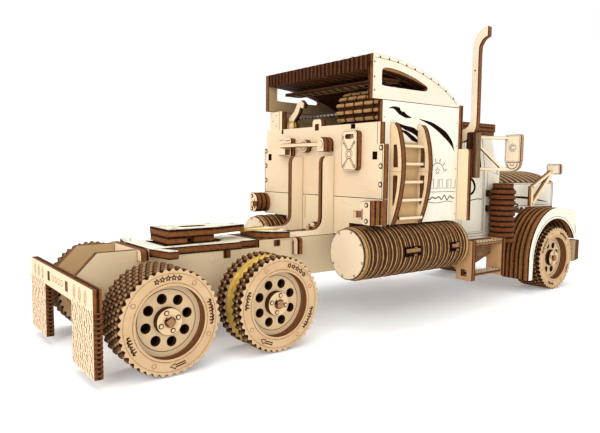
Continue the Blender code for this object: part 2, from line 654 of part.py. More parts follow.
def air_cleaner(side, finish):
    """An upright filter drum of stacked discs beside the cab."""
    profile = [(0, 39.8), (8.6, 39.8), (8.6, 77.2), (7.0, 77.2), (7.0, 80.6), (0, 80.6)]
    drum = turned("Z", (91.0, 47.1, 0), profile, 20, side=side)
    make(f"air_cleaner_{hand(side)}", drum, finish, (91.0, side * 47.1, 0), True)


def exhaust(side, finish):
    """An exhaust: a flat stack with a swept-out top, an elbow to the cab, and a silencer."""
    low, high, inner = 51.6, 56.2, CAB_HALF + 0.4
    stack = [(inner, 106.5), (49.0, 108.2), (54.0, 112.6), (high, 119.0), (high, 163.0), (58.4, 168.6),
             (62.2, 170.6), (62.2, 176.6), (57.6, 175.2), (53.2, 170.8), (low, 164.5), (low, 121.5),
             (49.4, 117.6), (inner, 114.0)]
    pipe = sheet("YZ", 46.0, 46.0 + PLY, stack, side=side)
    silencer = rod("Z", (48.0, 53.2, 0), 4.3, 84.5, 113.0, 14, side=side)
    stay = sheet("YZ", 46.2, 49.5, [(inner, 86.0), (53.0, 86.0), (53.0, 91.0), (inner, 93.0)],
                 side=side)
    combine(f"exhaust_{hand(side)}", [pipe, silencer, stay], finish, smooth=True)


def steps(side, finish):
    """The step box below the door: two treads between end plates, on a back plate."""
    inner, outer, low, high = 48.0, 60.0, 19.6, 45.2
    rear_hole = rectangle(51.5, 22.0, 56.0, 26.6)
    rear = sheet("YZ", 41.0, 41.0 + PLY, rectangle(inner, low, outer, high), rear_hole, side=side)
    front = box((73.0, inner, 20.2), (73.0 + PLY, outer - 0.4, high - 0.4), side=side)
    back = box((42.0, inner + 0.2, 20.4), (75.0, inner + 3.4, high - 0.8), side=side)
    upper = box((43.0, inner + 1.0, 40.6), (74.5, outer - 0.8, 43.8), side=side)
    lower = box((43.0, inner + 1.0, 21.6), (74.5, outer - 0.8, 24.8), side=side)
    combine(f"steps_{hand(side)}", [rear, front, back, upper, lower], finish)


def bumper(finish):
    """The front bumper: a deep board across the nose."""
    half = [(49.0, 18.0), (52.0, 20.0), (52.0, 35.2)]
    make("bumper", sheet("YZ", NOSE_X - 5.6, NOSE_X, both_halves(half)), finish)


# ---------------------------------------------------------------- the whole truck

def build():
    clear_scene()
    face = material("birch_ply", (0.80, 0.66, 0.47), 0.62)
    edge = material("scorched_edge", (0.20, 0.09, 0.045), 0.7)
    rubber = material("rubber", (0.62, 0.42, 0.06), 0.5)
    crossmember("rear_crossmember", CROSS_REAR_X, 45.3, 31.0, face)
    crossmember("mid_crossmember", CROSS_MID_X, 41.0, 30.0, face)
    mudflap(face)
    deck_plate(edge)
    ramp_plate(face)
    fifth_wheel(edge)
    front_axle_beam(face)
    axle("rear_axle", REAR_X, edge)
    axle("drive_axle", DRIVE_X, edge)
    drive_gear(face)
    tie_rod(face)
    sleeper_roof(face)
    rear_wall(face)
    rear_skirt(face)
    sleeper_floor(face)
    roof_shelf(face)
    motor_drum(edge)
    release_lever(face)
    latch(face, face)
    jerry_can(face)
    cab_divider(face)
    cab_shell(face)
    hood(face)
    bumper(face)
    for side in (RIGHT, LEFT):
        word = hand(side)
        chassis_rail(side, face)
        wheel(f"rear_wheel_{word}", REAR_X, WHEEL_OUT, side, 10.0, False, face)
        wheel(f"drive_wheel_{word}", DRIVE_X, WHEEL_OUT, side, 10.0, True, face)
        wheel(f"front_wheel_{word}", FRONT_X, FRONT_WHEEL_OUT, side, 12.8, False, face)
        drive_band(side, rubber)
        knuckle(side, face)
        sleeper_side(side, face)
        fin(side, face)
        ladder(side, face)
        fuel_tank(side, edge)
        door(side, face)
        mirror(side, face)
        fender(side, edge)
        marker_lamp(side, face)
        air_cleaner(side, edge)
        exhaust(side, face)
        steps(side, face)


build()
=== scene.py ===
"""Looks of the plywood truck kit: every laser-cut sheet, stack of plies and rubber band in detail.

Sizes in the sections are millimetres in the truck's own frame: +X to the nose, +Y to the truck's
left, +Z up from the ground. Each mesh is scaled to metres when it is made.
"""

import math

import bmesh
import bpy
import numpy as np
from mathutils import Matrix, Vector


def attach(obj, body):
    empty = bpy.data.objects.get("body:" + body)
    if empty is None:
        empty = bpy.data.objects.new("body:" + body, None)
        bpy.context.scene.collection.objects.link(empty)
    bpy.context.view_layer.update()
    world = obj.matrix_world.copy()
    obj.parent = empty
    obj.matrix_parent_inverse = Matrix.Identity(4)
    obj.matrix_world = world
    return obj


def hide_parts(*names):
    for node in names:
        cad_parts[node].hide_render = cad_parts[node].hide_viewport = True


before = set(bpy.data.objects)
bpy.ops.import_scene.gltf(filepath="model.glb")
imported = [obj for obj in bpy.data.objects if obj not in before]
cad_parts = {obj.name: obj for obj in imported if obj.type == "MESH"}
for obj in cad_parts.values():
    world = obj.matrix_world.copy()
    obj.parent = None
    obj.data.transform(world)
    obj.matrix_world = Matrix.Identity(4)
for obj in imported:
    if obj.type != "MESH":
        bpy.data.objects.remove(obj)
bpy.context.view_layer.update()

# ---------------------------------------------------------------- table, daylight and camera
# The model stands on a plain white sheet under a wide white sky, as on a product table.
# Two soft lamps from the right and from behind the truck give the faint contact shadows.

bpy.context.scene.view_settings.view_transform = "Standard"

sheet_mesh = bpy.data.meshes.new("table_sheet")
sheet_mesh.from_pydata([(-6, -6, -0.0002), (6, -6, -0.0002), (6, 6, -0.0002), (-6, 6, -0.0002)],
                       [], [(0, 1, 2, 3)])
table_sheet = bpy.data.objects.new("table_sheet", sheet_mesh)
bpy.context.scene.collection.objects.link(table_sheet)
white = bpy.data.materials.new("white_sheet")
white.use_nodes = True
white_shader = white.node_tree.nodes["Principled BSDF"]
white_shader.inputs["Base Color"].default_value = (0.93, 0.93, 0.93, 1)
white_shader.inputs["Roughness"].default_value = 0.9
white_shader.inputs["Specular IOR Level"].default_value = 0.1
white_shader.inputs["Emission Color"].default_value = (1, 1, 1, 1)
white_shader.inputs["Emission Strength"].default_value = 0.20
sheet_mesh.materials.append(white)

sky = bpy.data.worlds.new("white_sky")
sky.use_nodes = True
sky.node_tree.nodes["Background"].inputs["Color"].default_value = (1, 1, 1, 1)
sky.node_tree.nodes["Background"].inputs["Strength"].default_value = 1.0
bpy.context.scene.world = sky


def lamp(name, place, target, size, power, colour=(1, 1, 1)):
    """A square area lamp at a place, in metres, turned to shine at a target."""
    light = bpy.data.lights.new(name, "AREA")
    light.size = size
    light.energy = power
    light.color = colour
    made = bpy.data.objects.new(name, light)
    made.location = place
    made.rotation_euler = (Vector(target) - Vector(place)).to_track_quat("-Z", "Y").to_euler()
    bpy.context.scene.collection.objects.link(made)


lamp("key_lamp", (0.25, -1.35, 0.95), (0, 0, 0.06), 0.8, 2.2, (1.0, 0.99, 0.96))
lamp("rear_lamp", (-1.25, -0.75, 0.75), (0, 0, 0.08), 0.7, 9.0, (1.0, 0.985, 0.96))
lamp("top_lamp", (-0.2, 0.3, 1.6), (0, 0, 0.0), 1.2, 6.0)

eye = Vector((-260.31, -276.89, 89.39)) * 0.001
yaw, pitch, roll = math.radians(37.362), math.radians(4.80), math.radians(0.5506)
ahead = Vector((math.sin(yaw) * math.cos(pitch), math.cos(yaw) * math.cos(pitch), -math.sin(pitch)))
level = Vector((math.cos(yaw), -math.sin(yaw), 0))
upright = level.cross(ahead)
across = level * math.cos(roll) + upright * math.sin(roll)
above = upright * math.cos(roll) - level * math.sin(roll)
turn = Matrix((across, above, -ahead)).transposed().to_4x4()
camera = bpy.data.objects.new("camera", bpy.data.cameras.new("camera"))
camera.data.lens = 34.417
camera.data.sensor_width = 36
camera.data.clip_start = 0.01
camera.matrix_world = Matrix.Translation(eye) @ turn
bpy.context.scene.collection.objects.link(camera)
bpy.context.scene.camera = camera

# ---------------------------------------------------------------- sheet plywood
# Every part is cut by a laser from birch ply 3.7 mm thick. The faces keep their pale veneer,
# with fine grain; the cut edges are scorched brown, and show the plies as stripes.

PLY = 3.7
AXES = "xyz"


class Value:
    """A number that varies over a surface. Arithmetic on it adds Math nodes."""

    def __init__(self, finish, socket):
        self.finish = finish
        self.socket = socket

    def math(self, operation, *others):
        return self.finish.math(operation, self, *others)

    def __add__(self, other):
        return self.math("ADD", other)

    def __radd__(self, other):
        return self.math("ADD", other)

    def __sub__(self, other):
        return self.math("SUBTRACT", other)

    def __rsub__(self, other):
        return self.finish.math("SUBTRACT", other, self)

    def __mul__(self, other):
        return self.math("MULTIPLY", other)

    def __rmul__(self, other):
        return self.math("MULTIPLY", other)

    def __truediv__(self, other):
        return self.math("DIVIDE", other)

    def __abs__(self):
        return self.math("ABSOLUTE")

    def soft(self, start, end):
        """0 at start and 1 at end, eased between."""
        node = self.finish.node("ShaderNodeMapRange", {"interpolation_type": "SMOOTHSTEP"},
                                {"Value": self, "From Min": start, "From Max": end})
        return Value(self.finish, node.outputs["Result"])


class Finish:
    """A material being made: its tree, and one method that adds any node to it."""

    def __init__(self, name, roughness=0.6, shine=0.03):
        self.material = bpy.data.materials.new(name)
        self.material.use_nodes = True
        self.tree = self.material.node_tree
        self.shader = self.tree.nodes["Principled BSDF"]
        self.shader.inputs["Roughness"].default_value = roughness
        self.shader.inputs["Specular IOR Level"].default_value = shine
        self.where = self.node("ShaderNodeTexCoord")
        scaled = self.node("ShaderNodeVectorMath", {"operation": "SCALE"},
                           {0: self.where.outputs["Object"], "Scale": 1000.0})
        self.point = scaled.outputs[0]
        split = self.node("ShaderNodeSeparateXYZ", {}, {0: self.point})
        self.x, self.y, self.z = (Value(self, split.outputs[n]) for n in range(3))
        facing = self.node("ShaderNodeSeparateXYZ", {}, {0: self.where.outputs["Normal"]})
        self.normal = [Value(self, facing.outputs[n]) for n in range(3)]

    def node(self, kind, settings=None, values=None):
        made = self.tree.nodes.new(kind)
        for key, setting in (settings or {}).items():
            setattr(made, key, setting)
        for key, value in (values or {}).items():
            if isinstance(value, Value):
                self.tree.links.new(value.socket, made.inputs[key])
            elif isinstance(value, bpy.types.NodeSocket):
                self.tree.links.new(value, made.inputs[key])
            else:
                made.inputs[key].default_value = value
        return made

    def math(self, operation, *values):
        made = self.node("ShaderNodeMath", {"operation": operation}, dict(enumerate(values)))
        return Value(self, made.outputs[0])

    def noise(self, scale, stretch=(1, 1, 1), detail=3.0):
        """Cloudy noise from 0 to 1, with features about 1/scale mm, drawn out by the stretch."""
        moved = self.node("ShaderNodeVectorMath", {"operation": "MULTIPLY"},
                          {0: self.point, 1: stretch})
        made = self.node("ShaderNodeTexNoise", {},
                         {"Vector": moved.outputs[0], "Scale": scale, "Detail": detail})
        return Value(self, made.outputs["Fac"])

    def mix(self, factor, one, two):
        """The first colour where the factor is 0 and the second where it is 1."""
        made = self.node("ShaderNodeMix", {"data_type": "RGBA"}, {0: factor})
        for key, colour in ((6, one), (7, two)):
            if isinstance(colour, bpy.types.NodeSocket):
                self.tree.links.new(colour, made.inputs[key])
            else:
                made.inputs[key].default_value = (*colour, 1.0)
        return made.outputs[2]

    def colour(self, socket):
        self.tree.links.new(socket, self.shader.inputs["Base Color"])

    def bump(self, height, distance, strength=1.0):
        made = self.node("ShaderNodeBump", {},
                         {"Height": height, "Distance": distance, "Strength": strength})
        self.tree.links.new(made.outputs[0], self.shader.inputs["Normal"])


VENEER = (0.80, 0.765, 0.655)
VENEER_DARK = (0.64, 0.46, 0.26)
# The rear-facing faces take a warmer, darker veneer than the sides: painted shade, for the weaker and
# warmer light on the back of the truck.
REAR_SHADE_VENEER = (0.81, 0.625, 0.430)
SCORCH_LIGHT = (0.230, 0.085, 0.028)
SCORCH_DARK = (0.016, 0.0045, 0.002)


def ply(name, axis, start=0.0, grain="z", face=VENEER, edge=SCORCH_LIGHT, shaded_inside=None,
        char=(0.40, 0.90), pitch=PLY, dark=SCORCH_DARK):
    """Plywood with its thickness along an axis, in sheets that start at the given height.

    The face mask is the normal's share along the axis. On the face, long thin noise along the
    grain mixes two veneer colours, and a face turned to the truck's middle may take a darker colour
    of painted shade. On the edge, the height over the sheet's thickness, less its whole part, is
    folded: dark at both faces, with two thinner dark lines for the glue between. Char says where
    the dark begins and is full, from the sheet's middle at 0 to its faces at 1.
    """
    made = Finish(name, 0.62)
    a = AXES.index(axis)
    flat = abs(made.normal[a]).soft(0.72, 0.86)
    stretch = [1.0, 1.0, 1.0]
    stretch[AXES.index(grain)] = 0.07
    fibre = made.noise(1.5, stretch, 4.0)
    cloud = made.noise(0.045, (1, 1, 1), 2.0)
    figure = (fibre.soft(0.38, 0.72) * 0.36 + cloud.soft(0.35, 0.75) * 0.30)
    veneer = made.mix(figure, face, [0.55 * p + 0.45 * q for p, q in zip(face, VENEER_DARK)])
    # A face turned to the truck's middle takes a darker colour: painted shade between the parts.
    if shaded_inside:
        away = (made.normal[a] * (made.x, made.y, made.z)[a]).soft(-2.0, 2.0)
        veneer = made.mix(away, shaded_inside, veneer)
    height = ((made.x, made.y, made.z)[a] - start) / pitch
    part = height.math("FRACT")
    rim = (abs(part - 0.5) * 2.0).soft(*char)
    line = (abs((part * 3.0).math("FRACT") - 0.5) * 2.0).soft(0.70, 1.0)
    soot = made.noise(0.55, (1, 1, 1), 3.0).soft(0.30, 0.75)
    scorch = (rim * 0.92 + line * 0.25 + soot * 0.35).math("MINIMUM", 1.0)
    scorched = made.mix(scorch, edge, dark)
    made.colour(made.mix(flat, scorched, veneer))
    made.bump(fibre * flat * 0.6 + (1.0 - flat) * (line + soot) * 0.5, 0.00006, 0.5)
    return made.material


def dress(material, *nodes):
    """Gives CAD nodes a material."""
    for node in nodes:
        slots = bpy.data.objects[node].data.materials
        if len(slots) == 0:
            slots.append(material)
        for index in range(len(slots)):
            slots[index] = material


# The sheets across the truck face its back. Both of their colours, the pale one a little lighter, are
# painted shade of the rear-facing veneer.
ply_x = ply("ply_across", "x", -36.5, "y", REAR_SHADE_VENEER)
ply_x_pale = ply("ply_across_pale", "x", -36.5, "y", (0.83, 0.68, 0.46))
# The faces turned to the truck's middle take darker colours of painted shade.
ply_y = ply("ply_upright", "y", 13.3, "x", (0.66, 0.53, 0.34), shaded_inside=(0.45, 0.31, 0.16))
ply_y_fin = ply("ply_fins", "y", 13.3, "z", (0.90, 0.74, 0.52))
ply_y_up = ply("ply_side_panel", "y", 47.7, "z", VENEER, shaded_inside=(0.52, 0.36, 0.19))
ply_z = ply("ply_level", "z", 46.5, "x", VENEER)
dress(ply_x, "rear_wall", "mudflap", "rear_crossmember", "mid_crossmember", "latch_keeper",
      "jerry_can", "bumper", "latch_bar", "release_lever")
dress(ply_x_pale, "rear_skirt", "cab_divider")
dress(ply_y, "rail_right", "rail_left", "drive_gear")
dress(ply_y_fin, "fin_right", "fin_left", "marker_lamp_right", "marker_lamp_left")
dress(ply_y_up, "sleeper_side_right", "sleeper_side_left", "door_right", "door_left", "cab_shell")
dress(ply_z, "deck_plate", "ramp_plate", "fifth_wheel", "front_axle_beam", "tie_rod",
      "sleeper_floor", "knuckle_right", "knuckle_left", "rear_axle", "drive_axle")
dress(ply_x, "exhaust_right", "exhaust_left", "steps_right", "steps_left")

PLANES = {"XY": (0, 1, 2), "XZ": (0, 2, 1), "YZ": (1, 2, 0)}


def placed(plane, a, b, height):
    """Points whose plane coordinates are a and b, and whose height across the plane is given."""
    a, b, height = np.broadcast_arrays(a, b, height)
    points = np.empty(a.shape + (3,))
    for index, part in zip(PLANES[plane], (a, b, height)):
        points[..., index] = part
    return points


def piece(name, grids, material, body="chassis", replaces=None):
    """A piece from grids of points in millimetres, in place of the CAD node it replaces.

    A grid is (points, round rows, round columns, caps). Its neighbours in rows and columns make
    quads; a round direction joins its last to its first; caps close the first and last rows.
    """
    points, quads, caps, count = [], [], [], 0
    for grid, round_rows, round_columns, capped in grids:
        rows, columns = grid.shape[:2]
        index = np.arange(rows * columns).reshape(rows, columns) + count
        low = index if round_rows else index[:-1]
        high = np.roll(index, -1, 0) if round_rows else index[1:]
        corners = np.stack([low, np.roll(low, -1, 1), np.roll(high, -1, 1), high], -1)
        quads.append((corners if round_columns else corners[:, :-1]).reshape(-1, 4))
        if capped:
            caps += [index[0].tolist(), index[-1][::-1].tolist()]
        points.append(grid.reshape(-1, 3))
        count += rows * columns
    mesh = bpy.data.meshes.new(name)
    mesh.from_pydata((np.concatenate(points) * 0.001).tolist(), [],
                     np.concatenate(quads).tolist() + caps)
    bm = bmesh.new()
    bm.from_mesh(mesh)
    bmesh.ops.remove_doubles(bm, verts=bm.verts, dist=2e-7)
    bmesh.ops.recalc_face_normals(bm, faces=bm.faces)
    bm.to_mesh(mesh)
    bm.free()
    mesh.shade_smooth()
    mesh.set_sharp_from_angle(angle=math.radians(35))
    mesh.materials.append(material)
    made = bpy.data.objects.new(name, mesh)
    bpy.context.scene.collection.objects.link(made)
    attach(made, body)
    if replaces:
        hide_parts(replaces)


def inset(loop, depth):
    """A closed loop moved inwards: each corner goes by depth along the mean of its two normals."""
    step = np.roll(loop, -1, 0) - np.roll(loop, 1, 0)
    area = np.sum(loop[:, 0] * np.roll(loop[:, 1], -1) - loop[:, 1] * np.roll(loop[:, 0], -1))
    normal = np.stack([-step[:, 1], step[:, 0]], -1) * np.sign(area)
    return loop + depth * normal / np.maximum(np.linalg.norm(normal, axis=1, keepdims=True), 1e-9)


def plate(plane, loop, low, high, ease=0.12):
    """A sheet with a closed outline: the loop at both faces, drawn in by the eased corners."""
    loop = np.asarray(loop, float)
    near = inset(loop, ease)
    rows = [(near, low), (loop, low + ease), (loop, high - ease), (near, high)]
    grid = np.stack([placed(plane, p[:, 0], p[:, 1], h) for p, h in rows])
    return grid, False, True, True


def ring_plate(plane, outer, inner, low, high, ease=0.12):
    """A sheet between two loops with the same number of points, as a closed band of six rows."""
    outer, inner = np.asarray(outer, float), np.asarray(inner, float)
    near = inset(outer, ease)
    rows = [(inner, low), (near, low), (outer, low + ease), (outer, high - ease), (near, high),
            (inner, high)]
    grid = np.stack([placed(plane, p[:, 0], p[:, 1], h) for p, h in rows])
    return grid, True, True, False


def ribbon(plane, path, width, height, thick=0.05, closed=False):
    """A burnt line: a flat band along a path, whose width may vary, from height by thick."""
    path = np.asarray(path, float)
    if closed:
        step = np.roll(path, -1, 0) - np.roll(path, 1, 0)
    else:
        step = np.gradient(path, axis=0)
    step /= np.maximum(np.linalg.norm(step, axis=1, keepdims=True), 1e-9)
    side = np.stack([-step[:, 1], step[:, 0]], -1) * np.broadcast_to(width, len(path))[:, None] / 2
    left, right = path + side, path - side
    columns = [(left, height), (right, height), (right, height + thick), (left, height + thick)]
    grid = np.stack([placed(plane, p[:, 0], p[:, 1], h) for p, h in columns], 1)
    return grid, closed, True, not closed


def circle(a, b, radius, count=48, start=0.0):
    """Points at equal angles round a centre."""
    angle = start + np.arange(count) * 2 * np.pi / count
    return np.stack([a + radius * np.cos(angle), b + radius * np.sin(angle)], -1)


def arc(a, b, radius, start, end, count=16):
    """Points on an arc, with angles in degrees."""
    angle = np.radians(np.linspace(start, end, count))
    return np.stack([a + radius * np.cos(angle), b + radius * np.sin(angle)], -1)


def bar(low, high, ease=0.15):
    """A square block between two corners, with eased long edges."""
    (x0, y0, z0), (x1, y1, z1) = low, high
    loop = np.array([(x0, y0), (x1, y0), (x1, y1), (x0, y1)], float)
    return plate("XY", loop, z0, z1, ease)


SIDES = ((-1, "right"), (1, "left"))


def mirrored(grids, side):
    """The same grids on the truck's left (+1) or right (-1)."""
    return [(grid * (1, side, 1), *rest) for grid, *rest in grids]


def both_sides(grids):
    """The grids on the right and on the left."""
    return mirrored(grids, -1) + mirrored(grids, 1)


def lathe(axis, centre, profile, count=96, closed=False, radius=None):
    """A turned shape: (radius, height) points swept round an axis; radius(angle, profile) may
    give each row its own wavy radius."""
    profile = np.asarray(profile, float)
    angle = np.arange(count) * 2 * np.pi / count
    reach = np.broadcast_to(profile[:, :1], (len(profile), count)).copy()
    if radius is not None:
        reach = radius(angle[None, :], reach)
    a, b = reach * np.cos(angle), reach * np.sin(angle)
    height = np.broadcast_to(profile[:, 1:], reach.shape)
    order = {"X": (height, a, b), "Y": (a, height, b), "Z": (a, b, height)}[axis]
    return np.stack(order, -1) + np.array(centre, float), closed, True, not closed


def hoop(plane, a, b, radius, width, height, count=24, thick=0.1):
    """A burnt ring round a centre: a ribbon along a circle."""
    return ribbon(plane, circle(a, b, radius, count), width, height, thick, True)


def pin(axis, centre, radius, low, high, count=24):
    """A plain round pin, closed at both ends."""
    return lathe(axis, centre, [(radius, low), (radius, high)], count)


def burn(name, dark=(0.028, 0.010, 0.005), light=(0.105, 0.042, 0.018)):
    """The dark, dry colour of a laser-engraved line, a little uneven; the black one is also the
    painted shade of holes and hollows.
    """
    made = Finish(name, 0.85, 0.0)
    made.colour(made.mix(made.noise(0.8).soft(0.3, 0.8), dark, light))
    return made.material


burnt = burn("burnt_line")
# The black is also laid in holes and hollows as painted shade.
black = burn("black_burn_and_hole_shade", (0.007, 0.003, 0.002), (0.018, 0.007, 0.004))
toast = Finish("toasted_line", 0.75)
toast.colour(toast.mix(toast.noise(0.9).soft(0.3, 0.8), (0.27, 0.13, 0.05), (0.50, 0.31, 0.15)))


def engrave(name, grids, body="chassis", material=burnt):
    """Burnt lines or cuts, as one piece."""
    piece(name, grids, material, body)


def curve(points, count=40):
    """A smooth path through a few points: a Catmull-Rom blend of each four neighbours."""
    p = np.asarray(points, float)
    p = np.concatenate([2 * p[:1] - p[1:2], p, 2 * p[-1:] - p[-2:-1]])
    t = np.linspace(0, len(p) - 3 - 1e-9, count)
    k = t.astype(int)
    f = (t - k)[:, None]
    a, b, c, d = p[k], p[k + 1], p[k + 2], p[k + 3]
    return 0.5 * (2 * b + (c - a) * f + (2 * a - 5 * b + 4 * c - d) * f ** 2
                  + (3 * b - a - 3 * c + d) * f ** 3)


# ---------------------------------------------------------------- wheels
# A wheel is six ply rings with round teeth, set half a tooth apart by turns, round a dished disc
# with eight holes and a small hub. Rings, stars and an arrow are burnt into the side of the tyre.

WHEEL_R = 23.5
TEETH = 42
REAR_AXLE, DRIVE_AXLE, FRONT_AXLE = -158.3, -101.4, 155.1
REAR_FACE, FRONT_FACE = 54.2, 52.4
DISH_R, HUB_R, HOLE_R, HOLE_CIRCLE, DISH_DEPTH = 16.15, 6.0, 2.1, 9.8, 5.0


def tread(name, x):
    """The scorched rim of a wheel whose axle is at x, by the distance from the axle: a tan painted
    highlight on the teeth's crests and black scorch with painted shade between them, with pale side
    faces and a dark line between the rings."""
    made = Finish(name, 0.65)
    reach = ((made.x - x).math("POWER", 2.0) + (made.z - WHEEL_R).math("POWER", 2.0)).math("SQRT")
    # Painted highlight on the teeth's crests and painted shade in the gaps, by the distance from the
    # axle.
    tip = reach.soft(WHEEL_R - 0.9, WHEEL_R + 0.1)
    soot = made.noise(0.7).soft(0.3, 0.8)
    part = ((abs(made.y) - REAR_FACE) / PLY).math("FRACT")
    line = (abs(part - 0.5) * 2.0).soft(0.55, 0.95)
    scorch_and_crest_highlight = made.mix(tip * (1.0 - soot * 0.6), (0.020, 0.007, 0.003), (0.24, 0.105, 0.040))
    rim = made.mix(line * 0.45, scorch_and_crest_highlight, (0.020, 0.007, 0.003))
    flat = abs(made.normal[1]).soft(0.72, 0.86)
    fibre = made.noise(1.5, (0.07, 1, 1), 4.0).soft(0.38, 0.72)
    patch = made.noise(0.11, (1, 1, 1), 2.0).soft(0.35, 0.70)
    side = made.mix(fibre * 0.14 + patch * 0.45, (0.585, 0.405, 0.235), (0.47, 0.305, 0.160))
    inner = reach.soft(16.3, 15.9)
    made.colour(made.mix(flat, made.mix(inner, rim, (0.14, 0.055, 0.022)), side))
    made.bump(fibre * 0.3 + soot * (1.0 - flat) * 0.5, 0.00005, 0.5)
    return made.material


key_ply = ply("wheel_keys", "y", REAR_FACE, "x", (0.30, 0.15, 0.065), (0.24, 0.10, 0.04))
dish_ply = ply("wheel_dish", "y", REAR_FACE, "x", (0.66, 0.48, 0.28), (0.070, 0.026, 0.010))


def toothed(phase):
    """A radius rule: 1.2 mm less in the gaps of a wave of forty-two round teeth."""
    def rule(angle, reach):
        wave = np.sin(angle * TEETH + phase)
        return np.where(reach > WHEEL_R - 1.5, reach - 0.60 * (1 - wave), reach)
    return rule


def star(a, b, radius, turn):
    """A five-pointed star's outline: ten points on two radii by turns."""
    angle = turn + np.arange(10) * np.pi / 5
    reach = np.where(np.arange(10) % 2, radius * 0.45, radius)
    return np.stack([a + reach * np.cos(angle), b + reach * np.sin(angle)], -1)


def holed_disc(x, z, outer, spin):
    """The dished disc with its eight holes, as eight sectors.

    In each, a point goes along a line from the hole's rim to the sector's border, which runs
    along both arcs and both straight sides; more rows carry the rim down into the hole.
    """
    grids = []
    near, far, inner_r = outer - DISH_DEPTH, outer - DISH_DEPTH - PLY, HUB_R - 0.6
    for n in range(8):
        middle = spin + 2 * np.pi * (n + 0.5) / 8
        half = np.pi / 8
        spread = np.linspace(-half, half, 9)
        line = np.linspace(inner_r, DISH_R, 7)[1:-1]
        border = np.concatenate([
            np.stack([DISH_R * np.cos(middle + spread), DISH_R * np.sin(middle + spread)], -1),
            np.stack([line[::-1] * np.cos(middle + half), line[::-1] * np.sin(middle + half)], -1),
            np.stack([inner_r * np.cos(middle - spread), inner_r * np.sin(middle - spread)], -1),
            np.stack([line * np.cos(middle - half), line * np.sin(middle - half)], -1)])
        hub = np.array([HOLE_CIRCLE * np.cos(middle), HOLE_CIRCLE * np.sin(middle)])
        away = border - hub
        rim = hub + HOLE_R * away / np.linalg.norm(away, axis=1, keepdims=True)
        rows = [(border, near), (0.5 * (border + rim), near), (rim, near), (rim, far),
                (0.5 * (border + rim), far), (border, far)]
        grid = np.stack([placed("XZ", x + p[:, 0], z + p[:, 1], h) for p, h in rows])
        grids.append((grid, False, True, False))
    return grids


def wheel(name, x, outer, side, body, node, tyre_ply, groove=False, spin=0.0):
    """All the wood of one wheel, and its burnt lines, which lie just proud of three faces."""
    z, skew = WHEEL_R, spin - 0.17
    on_face, on_dish, on_hub = outer - 0.05, outer - DISH_DEPTH - 0.05, outer - 1.84
    rings, lines, rims = [], [], []
    for n in range(6):
        near, far = outer - n * PLY - 0.04, outer - (n + 1) * PLY + 0.04
        low = 2.3 if groove and n in (2, 3) else 0.0
        reach, inner = WHEEL_R - low, 15.9 if n < 2 else 16.2
        edge = [(inner, near), (reach - 0.15, near), (reach, near - 0.15), (reach, far + 0.15),
                (reach - 0.15, far), (inner, far)]
        rule = None if low else toothed(np.pi * (n % 2) + spin)
        rings.append(lathe("Y", (x, 0, z), edge, 504 if not low else 120, True, rule))
    dish = holed_disc(x, z, outer, skew)
    hub = [(2.45, outer - 8.7), (2.45, outer - 1.9), (2.7, outer - 1.8), (5.8, outer - 1.8),
           (HUB_R, outer - 2.0), (HUB_R, outer - 5.1), (HUB_R - 0.6, outer - 8.7)]
    dish.append(lathe("Y", (x, 0, z), hub, 64, True))
    # A near-black disc behind the dish fills the wheel's hollow: painted shade, seen through the
    # dish's holes.
    back = outer - 6 * PLY
    disc = [(2.45, back + 10.1), (2.45, outer - 8.8), (DISH_R, outer - 8.8), (DISH_R, back + 10.1)]
    backing = lathe("Y", (x, 0, z), disc, 64, True)
    for radius, width in ((21.2, 0.30), (17.05, 0.42)):
        rims.append(hoop("XZ", x, z, radius, width, on_face, 96, 0.08))

    def on_tyre(radius, angle):
        """Points at radii and angles round the axle, turned with the wheel."""
        return np.stack([x + radius * np.cos(angle + spin), z + radius * np.sin(angle + spin)], -1)

    for n in range(5):
        a, b = on_tyre(19.3, 1.64 + 0.135 * (n - 2))
        lines.append(ribbon("XZ", star(a, b, 1.2, 1.57 + spin), 0.58, on_face, 0.09, True))
    for angle in (0.98, 2.63, 4.28, 5.87):
        a, b = on_tyre(19.2, angle)
        rims.append(hoop("XZ", a, b, 0.95, 0.34, on_face, thick=0.07))
    for start, count in ((-0.16, 8), (3.32, 6)):
        for n in range(count):
            tall = 1.05 if n % 3 else 0.7
            angle = start + 0.075 * n
            path = on_tyre(np.array([19.2 - tall, 19.2 + tall]), np.array([angle, angle]))
            lines.append(ribbon("XZ", path, 0.62, on_face, 0.08))
            arch = on_tyre(19.2 + tall * np.sin(np.linspace(0, 3.1, 8)),
                           np.linspace(angle, angle + 0.05, 8))
            lines.append(ribbon("XZ", arch, 0.52, on_face, 0.08))
    arrow = on_tyre(np.array([19.7, 19.7, 20.4, 19.2, 18.0, 18.7, 18.7]),
                    np.array([5.05, 4.80, 4.80, 4.67, 4.80, 4.80, 5.05]))
    lines.append(ribbon("XZ", arrow, 0.56, on_face, 0.08, True))
    lines.append(hoop("XZ", x, z, 13.6, 0.3, on_dish, 72, 0.08))
    for a, b in circle(x, z, HOLE_CIRCLE, 8, skew + np.pi / 8):
        lines.append(hoop("XZ", a, b, HOLE_R + 0.1, 0.26, on_dish, thick=0.08))
    for a, b in circle(x, z, 4.2, 4, 0.35 + spin):
        dish.append(lathe("Y", (a, 0, b), [(0.75, outer - 2.4), (0.75, outer - 1.5),
                                           (0.6, outer - 1.4)], 20))
        lines.append(hoop("XZ", a, b, 1.0, 0.42, on_hub, thick=0.08))
    key = np.array([(-1.75, -1.75), (1.75, -1.75), (1.75, 1.75), (-1.75, 1.75)])
    sine, cosine = np.sin(spin + 0.6), np.cos(spin + 0.6)
    key = key @ np.array([(cosine, sine), (-sine, cosine)]) + (x, z)
    key = plate("XZ", key, outer - 3.0, outer - 0.3, 0.25)
    engrave(f"{name}_backing", mirrored([backing], side), body, black)
    piece(f"{name}_key", mirrored([key], side), key_ply, body)
    piece(f"{name}_tyre", mirrored(rings, side), tyre_ply, body, replaces=node)
    piece(f"{name}_dish", mirrored(dish, side), dish_ply, body, replaces=node)
    engrave(f"{name}_marks", mirrored(lines, side), body)
    engrave(f"{name}_rims", mirrored(rims, side), body, toast.material)


